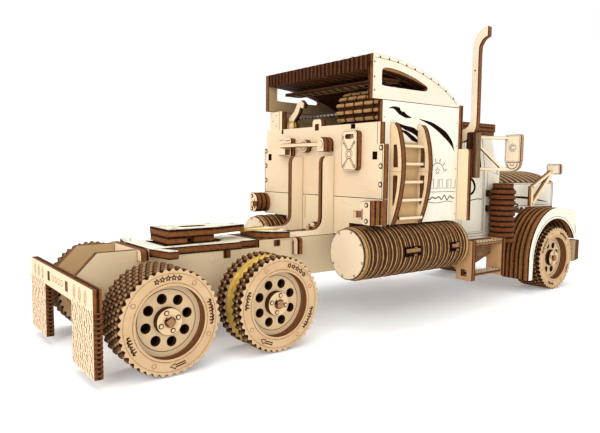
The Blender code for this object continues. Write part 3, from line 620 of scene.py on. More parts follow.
rear_tread = tread("rear_tread", REAR_AXLE)
drive_tread = tread("drive_tread", DRIVE_AXLE)
front_tread = tread("front_tread", FRONT_AXLE)
for side, hand in SIDES:
    wheel(f"rear_{hand}", REAR_AXLE, REAR_FACE, side, "rear_axle_set", f"rear_wheel_{hand}",
          rear_tread)
    wheel(f"drive_{hand}", DRIVE_AXLE, REAR_FACE, side, "drive_axle_set", f"drive_wheel_{hand}",
          drive_tread, True, -0.6)
    wheel(f"front_{hand}", FRONT_AXLE, FRONT_FACE, side, f"front_wheel_{hand}", f"front_wheel_{hand}",
          front_tread, spin=0.9)

# The rubber motor's ring of two amber bands lies in the drive wheel's groove and gives it grip.
# Each band is one soft loop, flattened because it is stretched over the wood.

rubber = Finish("amber_rubber", 0.42)
rubber.colour(rubber.mix(rubber.noise(0.25).soft(0.3, 0.8), (0.46, 0.28, 0.045),
                         (0.66, 0.46, 0.12)))
rubber.bump(rubber.noise(1.2), 0.0001, 0.4)
bands = [lathe("Y", (DRIVE_AXLE, 0, WHEEL_R), circle(0, 0, 1, 16) * (0.75, 1.55) + (21.95, y),
               120, True) for y in (44.85, 41.35)]
for side, hand in SIDES:
    piece(f"drive_bands_{hand}", mirrored(bands, side), rubber.material, "drive_axle_set",
          f"drive_band_{hand}")

# ---------------------------------------------------------------- fuel tanks
# A tank is a stack of twenty-four round plies on a hidden rod. Every second disc is a little
# smaller, so their scorched edges stand out as ribs; the two end discs show their pale faces.

TANK_X, TANK_Y, TANK_Z = -52.0, 46.2, 42.9
DISC = 3.717
tank_ply = ply("tank_discs", "x", TANK_X, "y", (0.46, 0.26, 0.11), (0.50, 0.29, 0.12),
               char=(0.0, 0.42), pitch=DISC, dark=(0.042, 0.015, 0.006))
# The end discs face the back; their warmer, darker veneer is painted shade of the rear-facing faces.
tank_end_ply = ply("tank_ends", "x", TANK_X, "y", (0.80, 0.64, 0.45), (0.50, 0.29, 0.12),
                   char=(0.3, 0.8), pitch=DISC)
discs = []
for n in range(24):
    low = TANK_X + n * DISC
    high = low + 3.66
    reach = 15.0 if n % 2 else 14.6
    if n in (0, 23):
        reach = 14.1
    core = [(0.0001, low), (reach - 0.3, low), (reach, low + 0.3), (reach, high - 0.3),
            (reach - 0.3, high), (0.0001, high)]
    discs.append(lathe("X", (0, TANK_Y, TANK_Z), core, 96))
for side, hand in SIDES:
    piece(f"tank_{hand}_discs", mirrored(discs[1:-1], side), tank_ply, "chassis",
          f"fuel_tank_{hand}")
    piece(f"tank_{hand}_ends", mirrored([discs[0], discs[-1]], side), tank_end_ply,
          replaces=f"fuel_tank_{hand}")

# ---------------------------------------------------------------- the roof
# The curved roof is twenty-eight arched plies side by side, between two end plates with a window.
# Their scorched rear ends make a dark band of stripes; pins show as dots along the curve.

SIDE_MARK = 51.34
ARCH = 3.643
roof_ply = ply("roof_arches", "y", -51.0, "x", (0.20, 0.09, 0.035), (0.105, 0.032, 0.010),
               char=(0.20, 0.75), pitch=ARCH, dark=(0.012, 0.0035, 0.0015))
ROOF_LINE = np.array([(-39.8, 151.4), (-31.0, 151.2), (-20.0, 150.2), (-9.0, 148.3), (2.0, 145.5),
                      (13.0, 141.8), (22.0, 137.7), (29.5, 133.3), (34.3, 129.6)])
roof_line = curve(ROOF_LINE, 48)
arches = []
for n in range(28):
    low = -51.0 + n * ARCH
    drop = 0.06 * (n % 2)
    top = roof_line[:-2] - (0, drop)
    top[0, 0] += 0.1 * (n % 2)
    under = curve(ROOF_LINE[:-2] - (0, 7.8 - 0.3 * (n % 2)), 40)
    under[0, 0] += 0.1 * (n % 2)
    front = np.array([(33.8, 129.9 - drop), (33.8, 127.9), (27.0, 127.9)])
    loop = np.concatenate([top, front, under[::-1]])
    arches.append(plate("XZ", loop, low, low + 3.56, 0.1))
piece("roof_arches", arches, roof_ply, replaces="sleeper_roof")

WINDOW = np.array([(-33.0, 136.6), (-31.4, 134.9), (-14.0, 134.6), (1.0, 134.6), (4.3, 135.4),
                   (4.2, 137.4), (-2.0, 139.9), (-10.0, 142.2), (-20.0, 144.2), (-28.5, 144.8),
                   (-32.2, 144.0), (-33.0, 141.8)])


def spaced(path, count, whole=True):
    """Points at equal steps of a path's length, with or without its last point."""
    run = np.concatenate([[0], np.cumsum(np.linalg.norm(np.diff(path, axis=0), axis=1))])
    at = np.linspace(0, run[-1], count, endpoint=whole)
    return np.stack([np.interp(at, run, path[:, k]) for k in range(2)], -1)


def along(loop, count):
    """Points at equal steps of a closed loop's length."""
    return spaced(np.concatenate([loop, loop[:1]]), count, False)


def facing_loop(loop, centre, count):
    """A loop's points at equal angles round a centre, found where each ray crosses the loop."""
    dense = along(loop, 4000)
    angle = np.arctan2(dense[:, 1] - centre[1], dense[:, 0] - centre[0])
    order = np.argsort(angle)
    asked = -np.pi + (np.arange(count) + 0.5) * 2 * np.pi / count
    reach = np.interp(asked, angle[order], np.hypot(*(dense[order] - centre).T), period=2 * np.pi)
    return np.stack([centre[0] + reach * np.cos(asked), centre[1] + reach * np.sin(asked)], -1)


border = np.concatenate([roof_line, [(34.3, 127.5), (-39.8, 127.5)]])
smooth_window = curve(np.concatenate([WINDOW, WINDOW[:1]]), 80)[:-1]
middle = np.array([-14.0, 138.6])
end_plate = ring_plate("XZ", facing_loop(border, middle, 240),
                       facing_loop(smooth_window, middle, 240), 47.6, 51.4, 0.1)
end_marks = [ribbon("XZ", curve(ROOF_LINE - (0, 2.0), 48)[1:-3], 0.22, SIDE_MARK, 0.08)]
for x in np.linspace(-34.5, 28.5, 10):
    z = np.interp(x, roof_line[:, 0], roof_line[:, 1]) - 1.5
    end_marks.append(pin("Y", (x, 0, z), 0.62, 51.3, 51.44, 16))
    end_marks.append(pin("Y", (x, 0, z + 0.5), 0.5, 50.6, 51.0, 12))
for z in (132.0, 139.0, 147.0):
    end_marks.append(pin("Y", (-38.6, 0, z), 0.5, 51.3, 51.44, 16))
# The end plates' faces turned to the middle take a darker colour of painted shade.
roof_end_ply = ply("roof_ends", "y", 47.7, "x", (0.74, 0.675, 0.545), shaded_inside=(0.50, 0.34, 0.18))
piece("roof_end_plates", both_sides([end_plate]), roof_end_ply, replaces="sleeper_roof")
engrave("roof_end_marks", both_sides(end_marks))

# ---------------------------------------------------------------- the hood
# The hood's top is twenty-three narrow arches in a row; its sides and front are flat sheets.
# Long lines are burnt into the sides, and the front has an upright grille.

hood_dark = ply("hood_dark_ribs", "x", 100.5, "y", (0.30, 0.15, 0.06), (0.075, 0.030, 0.012))
hood_light = ply("hood_light_ribs", "x", 100.5, "y", (0.50, 0.33, 0.17), (0.46, 0.29, 0.14),
                 char=(0.5, 1.0))
rise, half_width = 8.5, 29.6
hood_r = (half_width ** 2 + rise ** 2) / (2 * rise)
spread = math.degrees(math.asin(half_width / hood_r))
ribs = []
for n in range(23):
    low = 100.5 + n * 3.75
    drop = 0.3 * (n % 2)
    outer_arc = arc(0, 88.8 - hood_r, hood_r - drop, 90 - spread * 0.985, 90 + spread * 0.985, 28)
    inner_arc = arc(0, 88.8 - hood_r, hood_r - 3.7, 90 + spread * 0.93, 90 - spread * 0.93, 28)
    ribs.append(plate("YZ", np.concatenate([outer_arc, inner_arc]), low, low + 3.68, 0.1))
piece("hood_dark_arches", ribs[1::2], hood_dark, "hood", "hood")
piece("hood_light_arches", ribs[::2], hood_light, "hood", "hood")

HOOD_MARK = 29.56
side_loop = np.array([(100.6, 61.0), (186.9, 61.0), (186.9, 80.0), (100.6, 80.0)])
panel = plate("XZ", side_loop, 26.0, 29.6)
panel_marks = []
for path, widths, count in (
        ([(112, 69.5), (126, 69.2), (142, 68.4), (160, 67.4)],
         ([0, 0.15, 0.8, 1], [0.2, 1.1, 0.6, 0.1]), 30),
        ([(101, 66.3), (104.5, 65.6), (108, 66.0), (107, 68.5)], ([0, 1], [0.5, 0.5]), 20),
        ([(131, 69.4), (150, 68.2), (166, 66.2), (181, 64.2)],
         ([0, 0.3, 0.8, 1], [1.4, 1.8, 0.9, 0.2]), 30),
        ([(128, 64.5), (134, 64.2), (138.5, 62.8), (133, 60.9)], ([0, 1], [1.2, 1.2]), 20)):
    width = np.interp(np.linspace(0, 1, count), *widths)
    panel_marks.append(ribbon("XZ", curve(path, count), width, HOOD_MARK, 0.08))
for path, width in (([(102.5, 62.4), (185.5, 62.4)], 0.3), ([(185.4, 62.4), (185.4, 79)], 0.5),
                    ([(102.5, 79.0), (185.5, 79.0)], 0.35)):
    panel_marks.append(ribbon("XZ", path, width, HOOD_MARK, 0.08))
piece("hood_sides", both_sides([panel]), ply_y_up, "hood", replaces="hood")
face_loop = np.concatenate([[(29.5, 53.0)], arc(0, 88.6 - hood_r, hood_r, 90 - spread, 90 + spread,
                                               30), [(-29.5, 53.0)]])
hole_loop = np.array([(18, 57), (18, 80), (-18, 80), (-18, 57)], float)
centre = np.array([0.0, 68.0])
front = [ring_plate("YZ", facing_loop(face_loop, centre, 160), facing_loop(hole_loop, centre, 160),
                    184.3, 188.0)]
front += [bar((185.0, -17.2 + 4.3 * n, 56.9), (187.4, -15.4 + 4.3 * n, 80.1)) for n in range(9)]
piece("hood_front", front, ply_x, "hood", replaces="hood")
engrave("hood_marks", both_sides(panel_marks), "hood")

# ---------------------------------------------------------------- mudguards
# Each front mudguard is six arched plies. The outer one is pale, with a burnt line round the arch;
# the others are seen on their scorched edges, stepped a little by turns.

GUARD_PITCH = 3.667
guard_ply = ply("mudguard_plies", "y", 30.0, "x", (0.50, 0.27, 0.09), (0.27, 0.115, 0.036),
                char=(0.35, 0.9), pitch=GUARD_PITCH)
guard_face = ply("mudguard_face", "y", 48.335, "x", VENEER, (0.30, 0.13, 0.045))
plies = []
for n in range(6):
    step = 0.3 * (n % 2 == 0)
    reach = arc(0, 0, 1, 180, 90, 30) * (35.4 - step, 38.2 - step) + (FRONT_AXLE, WHEEL_R)
    back = np.array([(119.7 + step, 9.8)])
    nose = curve([(FRONT_AXLE, 61.7 - step), (168.0, 60.9 - step), (181.0, 58.5 - step),
                  (184.6 - step, 55.0), (187.0 - step, 36.6)], 24)[1:]
    outer_edge = spaced(np.concatenate([back, reach, nose]), 70)
    inner_edge = np.concatenate([[(124.6, 9.8)], [(124.8, 17.0)],
                                 arc(FRONT_AXLE, WHEEL_R, 30.0, 180, 26, 68)])
    loop = np.concatenate([outer_edge, inner_edge[::-1]])
    low = 30.0 + n * GUARD_PITCH
    plies.append(plate("XZ", loop, low, low + 3.6, 0.12))
for side, hand in SIDES:
    piece(f"mudguard_{hand}_plies", mirrored(plies[:5], side), guard_ply, "chassis",
          f"fender_{hand}")
    piece(f"mudguard_{hand}_face", mirrored(plies[5:], side), guard_face, replaces=f"fender_{hand}")
guard_marks = [ribbon("XZ", arc(FRONT_AXLE, WHEEL_R, 31.6, 178, 30, 60), 0.3, 51.9, 0.1),
               ribbon("XZ", [(183.6, 41.0), (182.6, 47.5)], 0.6, 51.9, 0.1)]
engrave("mudguard_marks", both_sides(guard_marks))

# ---------------------------------------------------------------- air cleaners and exhausts
# The air cleaners are upright stacks of eleven discs with dark gaps. The exhaust is one swept
# sheet with a burnt, many-sided post as its silencer.

silencer_ply = ply("silencer_plies", "y", 49.0, "z", (0.055, 0.022, 0.009), (0.070, 0.026, 0.010))
CLEANER = (91.0, 47.1, 0)
cleaner_ply = ply("cleaner_discs", "z", 39.8, "x", (0.40, 0.22, 0.10), (0.15, 0.052, 0.018))
discs = []
for n in range(10):
    low = 39.8 + n * 3.71
    discs.append(lathe("Z", CLEANER, [(8.3, low), (8.6, low + 0.3), (8.6, low + 2.2),
                                      (8.3, low + 2.5)], 64))
    discs.append(pin("Z", CLEANER, 7.6, low + 2.5, low + 3.71, 48))
discs.append(pin("Z", CLEANER, 6.9, 76.9, 80.5, 48))
outer_side = curve([(38.4, 106.4), (46.5, 107.2), (52.0, 110.2), (55.4, 114.6), (56.2, 121.0),
                    (56.2, 140.0), (56.2, 162.5), (57.4, 167.2), (59.6, 169.8), (62.2, 170.8)], 60)
inner_side = curve([(62.2, 176.6), (58.6, 175.8), (55.0, 173.0), (52.4, 168.5), (51.6, 163.0),
                    (51.6, 140.0), (51.6, 122.0), (50.6, 118.4), (47.6, 115.6), (38.4, 113.8)], 60)
stack = [plate("YZ", np.concatenate([outer_side, inner_side]), 46.0, 49.7, 0.2),
         plate("YZ", [(38.4, 86.0), (53.0, 86.0), (53.0, 91.0), (38.4, 93.0)], 46.2, 49.5)]
silencer = [lathe("Z", (48.0, 53.2, 0), [(3.9, 84.5), (4.3, 85.0), (4.3, 98.2), (4.1, 98.5),
                                         (4.1, 99.0), (4.3, 99.3), (4.3, 112.5), (3.9, 113.0)], 14)]
stack_hole = [pin("X", (0, 53.9, 151.0), 0.55, 45.9, 46.04, 20)]
stack_ply = ply("exhaust_ply", "x", 46.0, "z", (0.83, 0.68, 0.51))
for side, hand in SIDES:
    piece(f"air_cleaner_{hand}_discs", mirrored(discs, side), cleaner_ply, "chassis",
          f"air_cleaner_{hand}")
    piece(f"exhaust_{hand}_stack", mirrored(stack, side), stack_ply, replaces=f"exhaust_{hand}")
    piece(f"exhaust_{hand}_silencer", mirrored(silencer, side), silencer_ply, "chassis",
          f"exhaust_{hand}")
    engrave(f"exhaust_{hand}_hole", mirrored(stack_hole, side))

# ---------------------------------------------------------------- the rubber motor
# The drum is a row of five toothed ply discs on a long dowel. In the real kit, rubber bands wind
# on it and the lever's tip stops its teeth.

DRUM_X, DRUM_Z = -16.0, 124.0
DRUM = (DRUM_X, 0, DRUM_Z)
drum_wood = Finish("drum_wood", 0.6)
reach_out = ((drum_wood.x - DRUM_X).math("POWER", 2.0)
             + (drum_wood.z - DRUM_Z).math("POWER", 2.0)).math("SQRT")
# By the distance from the axle: a painted highlight, orange-brown, on the teeth's crests, and painted
# shade over the dark scorch in the gaps between them.
tip = reach_out.soft(11.2, 12.25)
soot = drum_wood.noise(0.8).soft(0.3, 0.8)
scorch_and_gap_shade = drum_wood.mix(soot, (0.065, 0.022, 0.008), (0.018, 0.006, 0.003))
drum_wood.colour(drum_wood.mix(tip, scorch_and_gap_shade,
                               drum_wood.mix(soot, (0.52, 0.30, 0.13), (0.26, 0.12, 0.045))))


def drum_teeth(angle, reach):
    """A radius rule: the rim drops 1.8 mm in the sixteen gaps of a steep sine."""
    wave = np.clip(np.sin(angle * 16) * 1.8 + 0.35, -1, 1)
    return np.where(reach > 10.3, reach - 0.9 * (1 - wave), reach)


drum = [pin("Y", DRUM, 1.5, -50.8, -46.9)]
shaft = [lathe("Y", DRUM, [(0.75, -8.0), (0.75, 46.6), (1.5, 47.0), (1.5, 50.8)], 24)]
shaft_ply = ply("drum_shaft", "y", 0.0, "y", (0.62, 0.56, 0.50), (0.50, 0.46, 0.43))
piece("motor_drum_shaft", shaft, shaft_ply, "motor_drum", replaces="motor_drum")
for n in range(5):
    low = -46.8 + n * 8.1
    rim = [(1.6, low), (11.8, low), (12.2, low + 0.9), (12.2, low + 6.1), (11.8, low + 7.0),
           (1.6, low + 7.0)]
    drum.append(lathe("Y", DRUM, rim, 192, True, drum_teeth))
    if n < 4:
        gap = [(1.6, low + 7.0), (9.5, low + 7.0), (9.5, low + 8.1), (1.6, low + 8.1)]
        drum.append(lathe("Y", DRUM, gap, 48, True))
piece("motor_drum_discs", drum, drum_wood.material, "motor_drum", "motor_drum")

# ---------------------------------------------------------------- mudflap
# The flap is one sheet whose two legs are engraved all over with short hooked strokes, under rows
# of lamp outlines. The legs' edges are notched like a comb where they were burnt through.

FLAP_MARK = -190.34
strokes, hooks, combs = [], [], []
for side in (-1, 1):
    for row in range(10):
        for column in range(9):
            y = side * (24.0 + 3.15 * column + 0.9 * (row % 2))
            z = 6.0 + 2.75 * row + 0.5 * math.sin(2.3 * column + row)
            if abs(y) > 50.6:
                continue
            lean = 0.55 * math.sin(1.7 * row + 2.9 * column)
            path = curve([(y - 0.7, z - 1.2), (y - 0.1 + lean, z - 0.5), (y + 0.2 - lean, z + 0.6),
                          (y + 0.8, z + 1.1)], 10)
            kind = hooks if (row + column) % 2 else strokes
            kind.append(ribbon("YZ", path, 0.62, FLAP_MARK, 0.08))
    for y in (26.8, 34.4, 42.0):
        outer = circle(0, 0, 1, 20) * (1.5, 3.1) + (side * y, 36.0)
        inner = circle(0, 0, 1, 16) * (0.8, 2.0) + (side * y, 36.0)
        hooks.append(ribbon("YZ", outer, 0.34, FLAP_MARK, 0.08, True))
        strokes.append(ribbon("YZ", inner, 0.2, FLAP_MARK, 0.08, True))
    for n in range(14):
        low = 5.2 + 1.95 * n
        for y0, y1 in ((51.45, 52.0), (21.8, 22.35)):
            combs.append(bar((-190.25, min(side * y0, side * y1), low),
                             (-186.65, max(side * y0, side * y1), low + 1.05), 0.1))
strokes += [hoop("YZ", y, 36.3, 1.4, 0.28, FLAP_MARK, 20, 0.08) for y in (-7.5, -2.5, 2.5, 7.5)]
engrave("mudflap_strokes", strokes)
engrave("mudflap_hooks", hooks, material=toast.material)
comb_ply = ply("comb_edges", "z", 5.2, "y", (0.10, 0.036, 0.013), (0.17, 0.066, 0.025), pitch=1.95)
engrave("mudflap_combs", combs, material=comb_ply)

# ---------------------------------------------------------------- back panel
# Ring dowels, square tenon holes and small brackets stand on the upper back panel. A socket disc
# sits low in the middle, a latch hangs on round flanges, and a flat can is pinned to the right.

WALL_X, BRACKET_X, CAN_MARK = -36.5, -47.6, -40.68
BRACKET_PITCH = 3.5
buttons, wall_marks, black_cuts = [], [], []


def box(a0, b0, a1, b1):
    """The corners of a rectangle."""
    return [(a0, b0), (a1, b0), (a1, b1), (a0, b1)]


def ring_dowel(y, z, x=WALL_X, reach=1.35):
    """Adds a short pin in its hole: a pale button and the burnt ring round it."""
    buttons.append(lathe("X", (0, y, z), [(reach * 0.6, x - 0.35), (reach * 0.72, x - 0.2),
                                          (reach * 0.72, x + 0.2)], 24))
    wall_marks.append(hoop("YZ", y, z, reach, 0.5, x - 0.06))


def dark_cut(y0, z0, y1, z1):
    """A deep square hole, drawn as a black patch of painted shade on the sheet."""
    return plate("YZ", box(y0, z0, y1, z1), WALL_X - 0.07, WALL_X + 0.02, 0.02)


for side in (-1, 1):
    for z in (101.0, 91.0, 81.0):
        ring_dowel(side * 55.4, z)
    for z in (70.2, 61.6):
        ring_dowel(side * 56.3, z, BRACKET_X, 1.2)
for y, z in ((-9.9, 54.6), (-4.6, 54.8)):
    ring_dowel(y, z, -45.4, 0.9)
# The deep holes and the brackets' slits are black patches of painted shade.
black_cuts += both_sides([dark_cut(48.9, 94.6, 52.6, 99.0)])
black_cuts += [dark_cut(35.2, 111.9, 37.0, 114.9), dark_cut(-34.6, 112.2, -31.0, 114.9),
               dark_cut(-0.6, 73.2, 0.6, 73.5)]
for path in ([(-57.4, 73.15), (-17.1, 73.15)], [(-13.1, 73.15), (13.1, 73.15)],
             [(17.2, 73.15), (57.4, 73.15)], [(-52.4, 103.0), (-52.4, 114.9)],
             [(-56.6, 73.4), (-56.6, 102.8)], [(56.6, 73.4), (56.6, 102.8)],
             [(-12.0, 51.0), (-12.0, 72.6)], [(11.0, 58.0), (11.0, 72.6)],
             [(40.0, 115.2), (40.0, 126.8)]):
    wall_marks.append(ribbon("YZ", path, 0.3, WALL_X - 0.06, 0.1))
wall_marks += [pin("X", (0, y, z), 0.4, WALL_X - 0.1, WALL_X + 0.1, 12)
               for y, z in ((43.5, 117.5), (43.5, 124.5), (47.5, 121.0))]

nose = arc(0, 0, 6.5, 90, 270, 24) * (0.8, 1) + (54.6, 65.9)
bracket_loop = np.concatenate([[(59.3, 59.4), (59.3, 72.4)], nose])
brackets = [plate("YZ", bracket_loop, low, low + 3.4, 0.3)
            for low in BRACKET_X + BRACKET_PITCH * np.arange(3)]
bracket_key = plate("YZ", box(49.6, 63.4, 52.4, 66.9), -50.9, -47.4, 0.3)
# A slit in each bracket, as a black patch of painted shade.
slit = plate("YZ", box(52.8, 62.0, 53.5, 68.0), BRACKET_X - 0.08, BRACKET_X + 0.1, 0.02)
black_cuts += both_sides([slit])
bracket_faces = both_sides(brackets)
for low in (-45.4, -42.0):
    bracket_faces.append(plate("YZ", circle(-7.2, 52.6, 4.7, 40), low, low + 3.3, 0.25))
    bracket_faces.append(plate("YZ", box(-10.6, 50.4, -3.8, 53.0), low, low + 3.3, 0.2))
keys = both_sides([bracket_key]) + [plate("YZ", box(-8.8, 50.5, -6.0, 54.6), -49.0, -45.2, 0.3)]
# The brackets' faces look to the back, in the painted shade of the rear-facing veneer.
bracket_ply = ply("bracket_plies", "x", BRACKET_X, "z", REAR_SHADE_VENEER)
bracket_key_ply = ply("key_plies", "x", 60.0, "x", (0.62, 0.40, 0.22), (0.30, 0.13, 0.05))
piece("tail_brackets", bracket_faces, bracket_ply)
engrave("bracket_keys", keys, material=bracket_key_ply)
piece("wall_buttons", buttons, ply_x_pale)
engrave("wall_black_cuts", black_cuts, material=black)
engrave("wall_marks", wall_marks)

# The can's face has a cross of double lines with rings at its ends and middle.

can_marks = []
for a, b in (((-38.3, 104.2), (-34.9, 99.8)), ((-29.9, 104.2), (-33.3, 99.8)),
             ((-38.5, 90.8), (-34.9, 95.6)), ((-29.5, 90.8), (-33.3, 95.6))):
    for shift in ((-0.55, 0), (0.55, 0)):
        can_marks.append(ribbon("YZ", np.add((a, b), shift), 0.3, CAN_MARK, 0.1))
    can_marks.append(hoop("YZ", *a, 0.75, 0.28, CAN_MARK, 20))
can_marks += [hoop("YZ", -34.1, 97.7, 1.7, 0.34, CAN_MARK, 6),
              hoop("YZ", -34.1, 97.7, 2.7, 0.26, CAN_MARK),
              ribbon("YZ", [(-29.0, 105.4), (-29.0, 108.2)], 0.6, CAN_MARK, 0.1)]
can_loop = np.array([(-40.1, 90.8), (-40.1, 108.8), (-38.4, 110.6), (-29.7, 110.6), (-28.0, 108.8),
                     (-28.0, 90.8), (-29.7, 88.9), (-38.4, 88.9)])
can_marks.append(ribbon("YZ", can_loop, 0.22, CAN_MARK, 0.1, True))
engrave("can_marks", can_marks)

# The latch turns on a small square-shouldered flange; a second flange and the keeper guide it.

# The latch faces the back; its warm veneer is painted shade of the rear-facing faces.
latch_ply = ply("latch_plies", "x", -44.9, "y", (0.80, 0.60, 0.38))
flange = [(-16.6, 99.4), (-10.6, 99.4), (-10.6, 104.6), (-11.6, 107.0), (-13.6, 108.0),
          (-15.6, 107.0), (-16.6, 104.6)]
hub = [plate("YZ", flange, -40.95, -37.0, 0.2), plate("YZ", flange, -44.7, -41.05, 0.2),
       plate("YZ", circle(-13.5, 103.6, 2.2, 24), -44.9, -36.95, 0.2)]
piece("latch_hub", hub, latch_ply, "latch_bar", replaces="latch_bar")
bar_loop = np.concatenate([arc(27.0, 103.7, 1.3, 90, -90, 12), [(8.0, 102.6), (-12.0, 102.2)],
                           arc(-13.5, 103.7, 2.0, -90, -270, 12), [(-12.0, 105.0), (8.0, 104.9)]])
piece("latch_arm", [plate("YZ", bar_loop, -44.3, -41.2, 0.3)], latch_ply, "latch_bar",
      replaces="latch_bar")
guide = np.concatenate([[(4.4, 102.0), (4.4, 103.4)], arc(8.0, 103.2, 4.0, 170, 10, 24),
                        arc(8.0, 103.2, 4.0, -10, -160, 24)])
piece("latch_guide", [plate("YZ", guide, -40.7, -37.0, 0.2)], latch_ply)
keeper_marks = [ribbon("YZ", [(22.6, 107.2), (27.5, 107.2)], 0.35, -40.56, 0.1),
                ribbon("YZ", [(22.6, 98.6), (27.5, 98.6)], 0.35, -44.0, 0.1),
                hoop("YZ", 8.0, 103.2, 2.6, 0.3, -40.76),
                ribbon("YZ", [(29.0, 107.6), (34.0, 107.6)], 0.3, -40.56, 0.1)]
engrave("keeper_marks", keeper_marks)

# Two more amber bands: one loops the release lever's pivot, the other lies on the tongue.

lever_bands = [lathe("X", (0, 33.0, 117.0), circle(0, 0, 1, 14) * (0.5, 0.55) + centre, 48, True)
               for centre in ((3.3, -32.0), (3.0, -30.18))]
piece("lever_bands", lever_bands, rubber.material, "release_lever")
tongue_bands = []
for shift in (0.0, 1.5):
    path = curve([(-96.0, -3.4 - shift), (-86.0, -4.2 - shift), (-77.0, -6.6 - shift),
                  (-70.5, -7.4 - shift)], 30)
    tongue_bands.append(ribbon("XY", path, 0.9, 54.15, 0.7))
piece("tongue_bands", both_sides(tongue_bands), rubber.material)

# ---------------------------------------------------------------- sleeper sides
# Each side panel is a tall sheet with four long flames burnt deep and black, a half sun with a
# star over a ruled line of plain dashes, and a wavy flourish below it.

flames, plain_marks = [], []
swoosh = [([(-27.2, 123.0), (-23.2, 123.6), (-18.1, 121.9), (-13.2, 119.6), (-8.0, 118.8)],
           [0.2, 1.2, 3.4, 2.0, 0.1]),
          ([(-2.2, 118.6), (9.8, 115.9), (21.2, 110.8), (27.6, 106.0), (31.2, 100.8)],
           [0.2, 2.0, 3.4, 2.4, 0.1]),
          ([(-21.4, 115.6), (-14.4, 113.2), (-6.7, 111.6), (-1.4, 108.6), (-0.6, 104.9)],
           [0.3, 2.0, 3.0, 2.6, 0.4]),
          ([(-19.0, 112.0), (-12.4, 110.0), (-7.0, 107.2), (-2.2, 105.4)], [0.2, 1.8, 2.6, 1.2])]
for path, widths in swoosh:
    line = curve(path, 64)
    width = np.interp(np.linspace(0, 1, 64), np.linspace(0, 1, len(widths)), widths) * 1.15
    flames.append(ribbon("XZ", line, width, SIDE_MARK, 0.1))
plain_marks.append(ribbon("XZ", arc(15.8, 87.2, 6.2, 8, 172, 40), 0.4, SIDE_MARK, 0.1))
for angle in np.radians(range(15, 180, 30)):
    ray = [(15.8 + reach * np.cos(angle), 87.2 + reach * np.sin(angle)) for reach in (6.9, 9.0)]
    plain_marks.append(ribbon("XZ", ray, 0.55, SIDE_MARK, 0.1))
plain_marks.append(ribbon("XZ", star(15.8, 88.6, 2.2, 1.57), 0.4, SIDE_MARK, 0.1, True))
plain_marks.append(ribbon("XZ", [(4.0, 76.0), (32.0, 76.0)], 0.32, SIDE_MARK, 0.1))
for n in range(7):
    x = 5.4 + 4.1 * n
    loop = np.array([(x, 78.2), (x + 2.9, 78.2), (x + 2.9, 83.6), (x, 83.6)])
    plain_marks.append(ribbon("XZ", loop if n % 2 else loop[:3], 0.38, SIDE_MARK, 0.1, bool(n % 2)))
wave = np.linspace(0, 1, 80)
path = np.stack([5.0 + 27.0 * wave, 72.4 + 1.5 * np.sin(wave * 31) * (0.6 + 0.4 * np.cos(9 * wave))],
                -1)
plain_marks.append(ribbon("XZ", path, 0.7, SIDE_MARK, 0.1))
plain_marks.append(ribbon("XZ", curve([(8, 70.0), (16, 69.3), (25, 70.2), (31, 69.6)], 30), 0.35,
                          SIDE_MARK, 0.1))
for x in (-30.6, 33.0):
    for z in (62.0, 76.0, 90.0, 104.0, 118.0):
        plain_marks.append(pin("Y", (x, 0, z), 0.35, 51.3, 51.45, 12))
plug = lathe("Y", DRUM, [(2.2, 51.35), (2.2, 51.43), (2.1, 51.45)], 40)
piece("bearing_plugs", both_sides([plug]), ply_y_up)
engrave("sleeper_flames", both_sides(flames), material=black)
engrave("sleeper_marks", both_sides(plain_marks))

# ---------------------------------------------------------------- ladders
# Two bowed uprights with a pair of long slots each are pinned to a darker backing strip. The
# treads are thin pale strips set between them.

BOW = curve([(53.0, 57.8), (55.9, 65.0), (58.8, 76.0), (60.3, 89.0), (59.4, 101.0), (56.8, 111.0),
             (54.2, 115.0)], 50)
# The uprights face the back; their warm veneer is painted shade of the rear-facing faces.
ladder_ply = ply("ladder_uprights", "x", -25.5, "z", (0.80, 0.61, 0.38), (0.20, 0.075, 0.025))
tread_ply = ply("ladder_treads", "y", 51.8, "x", (0.74, 0.59, 0.40), (0.64, 0.49, 0.31))
strip_ply = ply("ladder_strip", "y", 51.5, "z", (0.55, 0.35, 0.17))


def bow_part(low, high, slot):
    """A stretch of an upright between two heights, as a ring round its slot."""
    outer = BOW[(BOW[:, 1] >= low) & (BOW[:, 1] <= high)]
    reach = np.interp([low, high], BOW[:, 1], BOW[:, 0])
    loop = np.concatenate([[(51.7, low), (reach[0], low)], outer, [(reach[1], high), (51.7, high)]])
    middle = np.mean(slot, 0)
    hole = facing_loop(along(np.asarray(slot, float), 400), middle, 120)
    return facing_loop(loop, middle, 120), hole


uprights = []
for x in (-25.5, -3.0):
    for low, high, slot in ((57.8, 88.2, [(54.2, 68.0), (55.5, 70.5), (57.1, 78.0), (57.6, 86.0),
                                          (54.2, 86.0)]),
                            (88.24, 115.0, [(54.2, 90.4), (57.7, 90.4), (57.2, 99.0),
                                            (56.4, 103.0), (54.2, 103.0)])):
        uprights.append(ring_plate("YZ", *bow_part(low, high, slot), x, x + 3.7, 0.05))
rungs = [bar((-21.9, 52.3, z), (-2.9, 56.6, z + 1.7), 0.2) for z in (61.0, 71.2, 81.4, 91.6, 101.6)]
strip = [plate("XZ", box(-21.7, 58.2, -3.1, 104.6), 51.5, 52.1)]
for side, hand in SIDES:
    for word, grids, wood in (("uprights", uprights, ladder_ply), ("rungs", rungs, tread_ply),
                              ("strip", strip, strip_ply)):
        piece(f"ladder_{hand}_{word}", mirrored(grids, side), wood, replaces=f"ladder_{hand}")

# ---------------------------------------------------------------- deck and tongue
# The deck, the coupling and the tongue are flat sheets with black rims. Ends of tenons show as
# small dark blocks in the rails, and a thin bracket sheet stands on each.

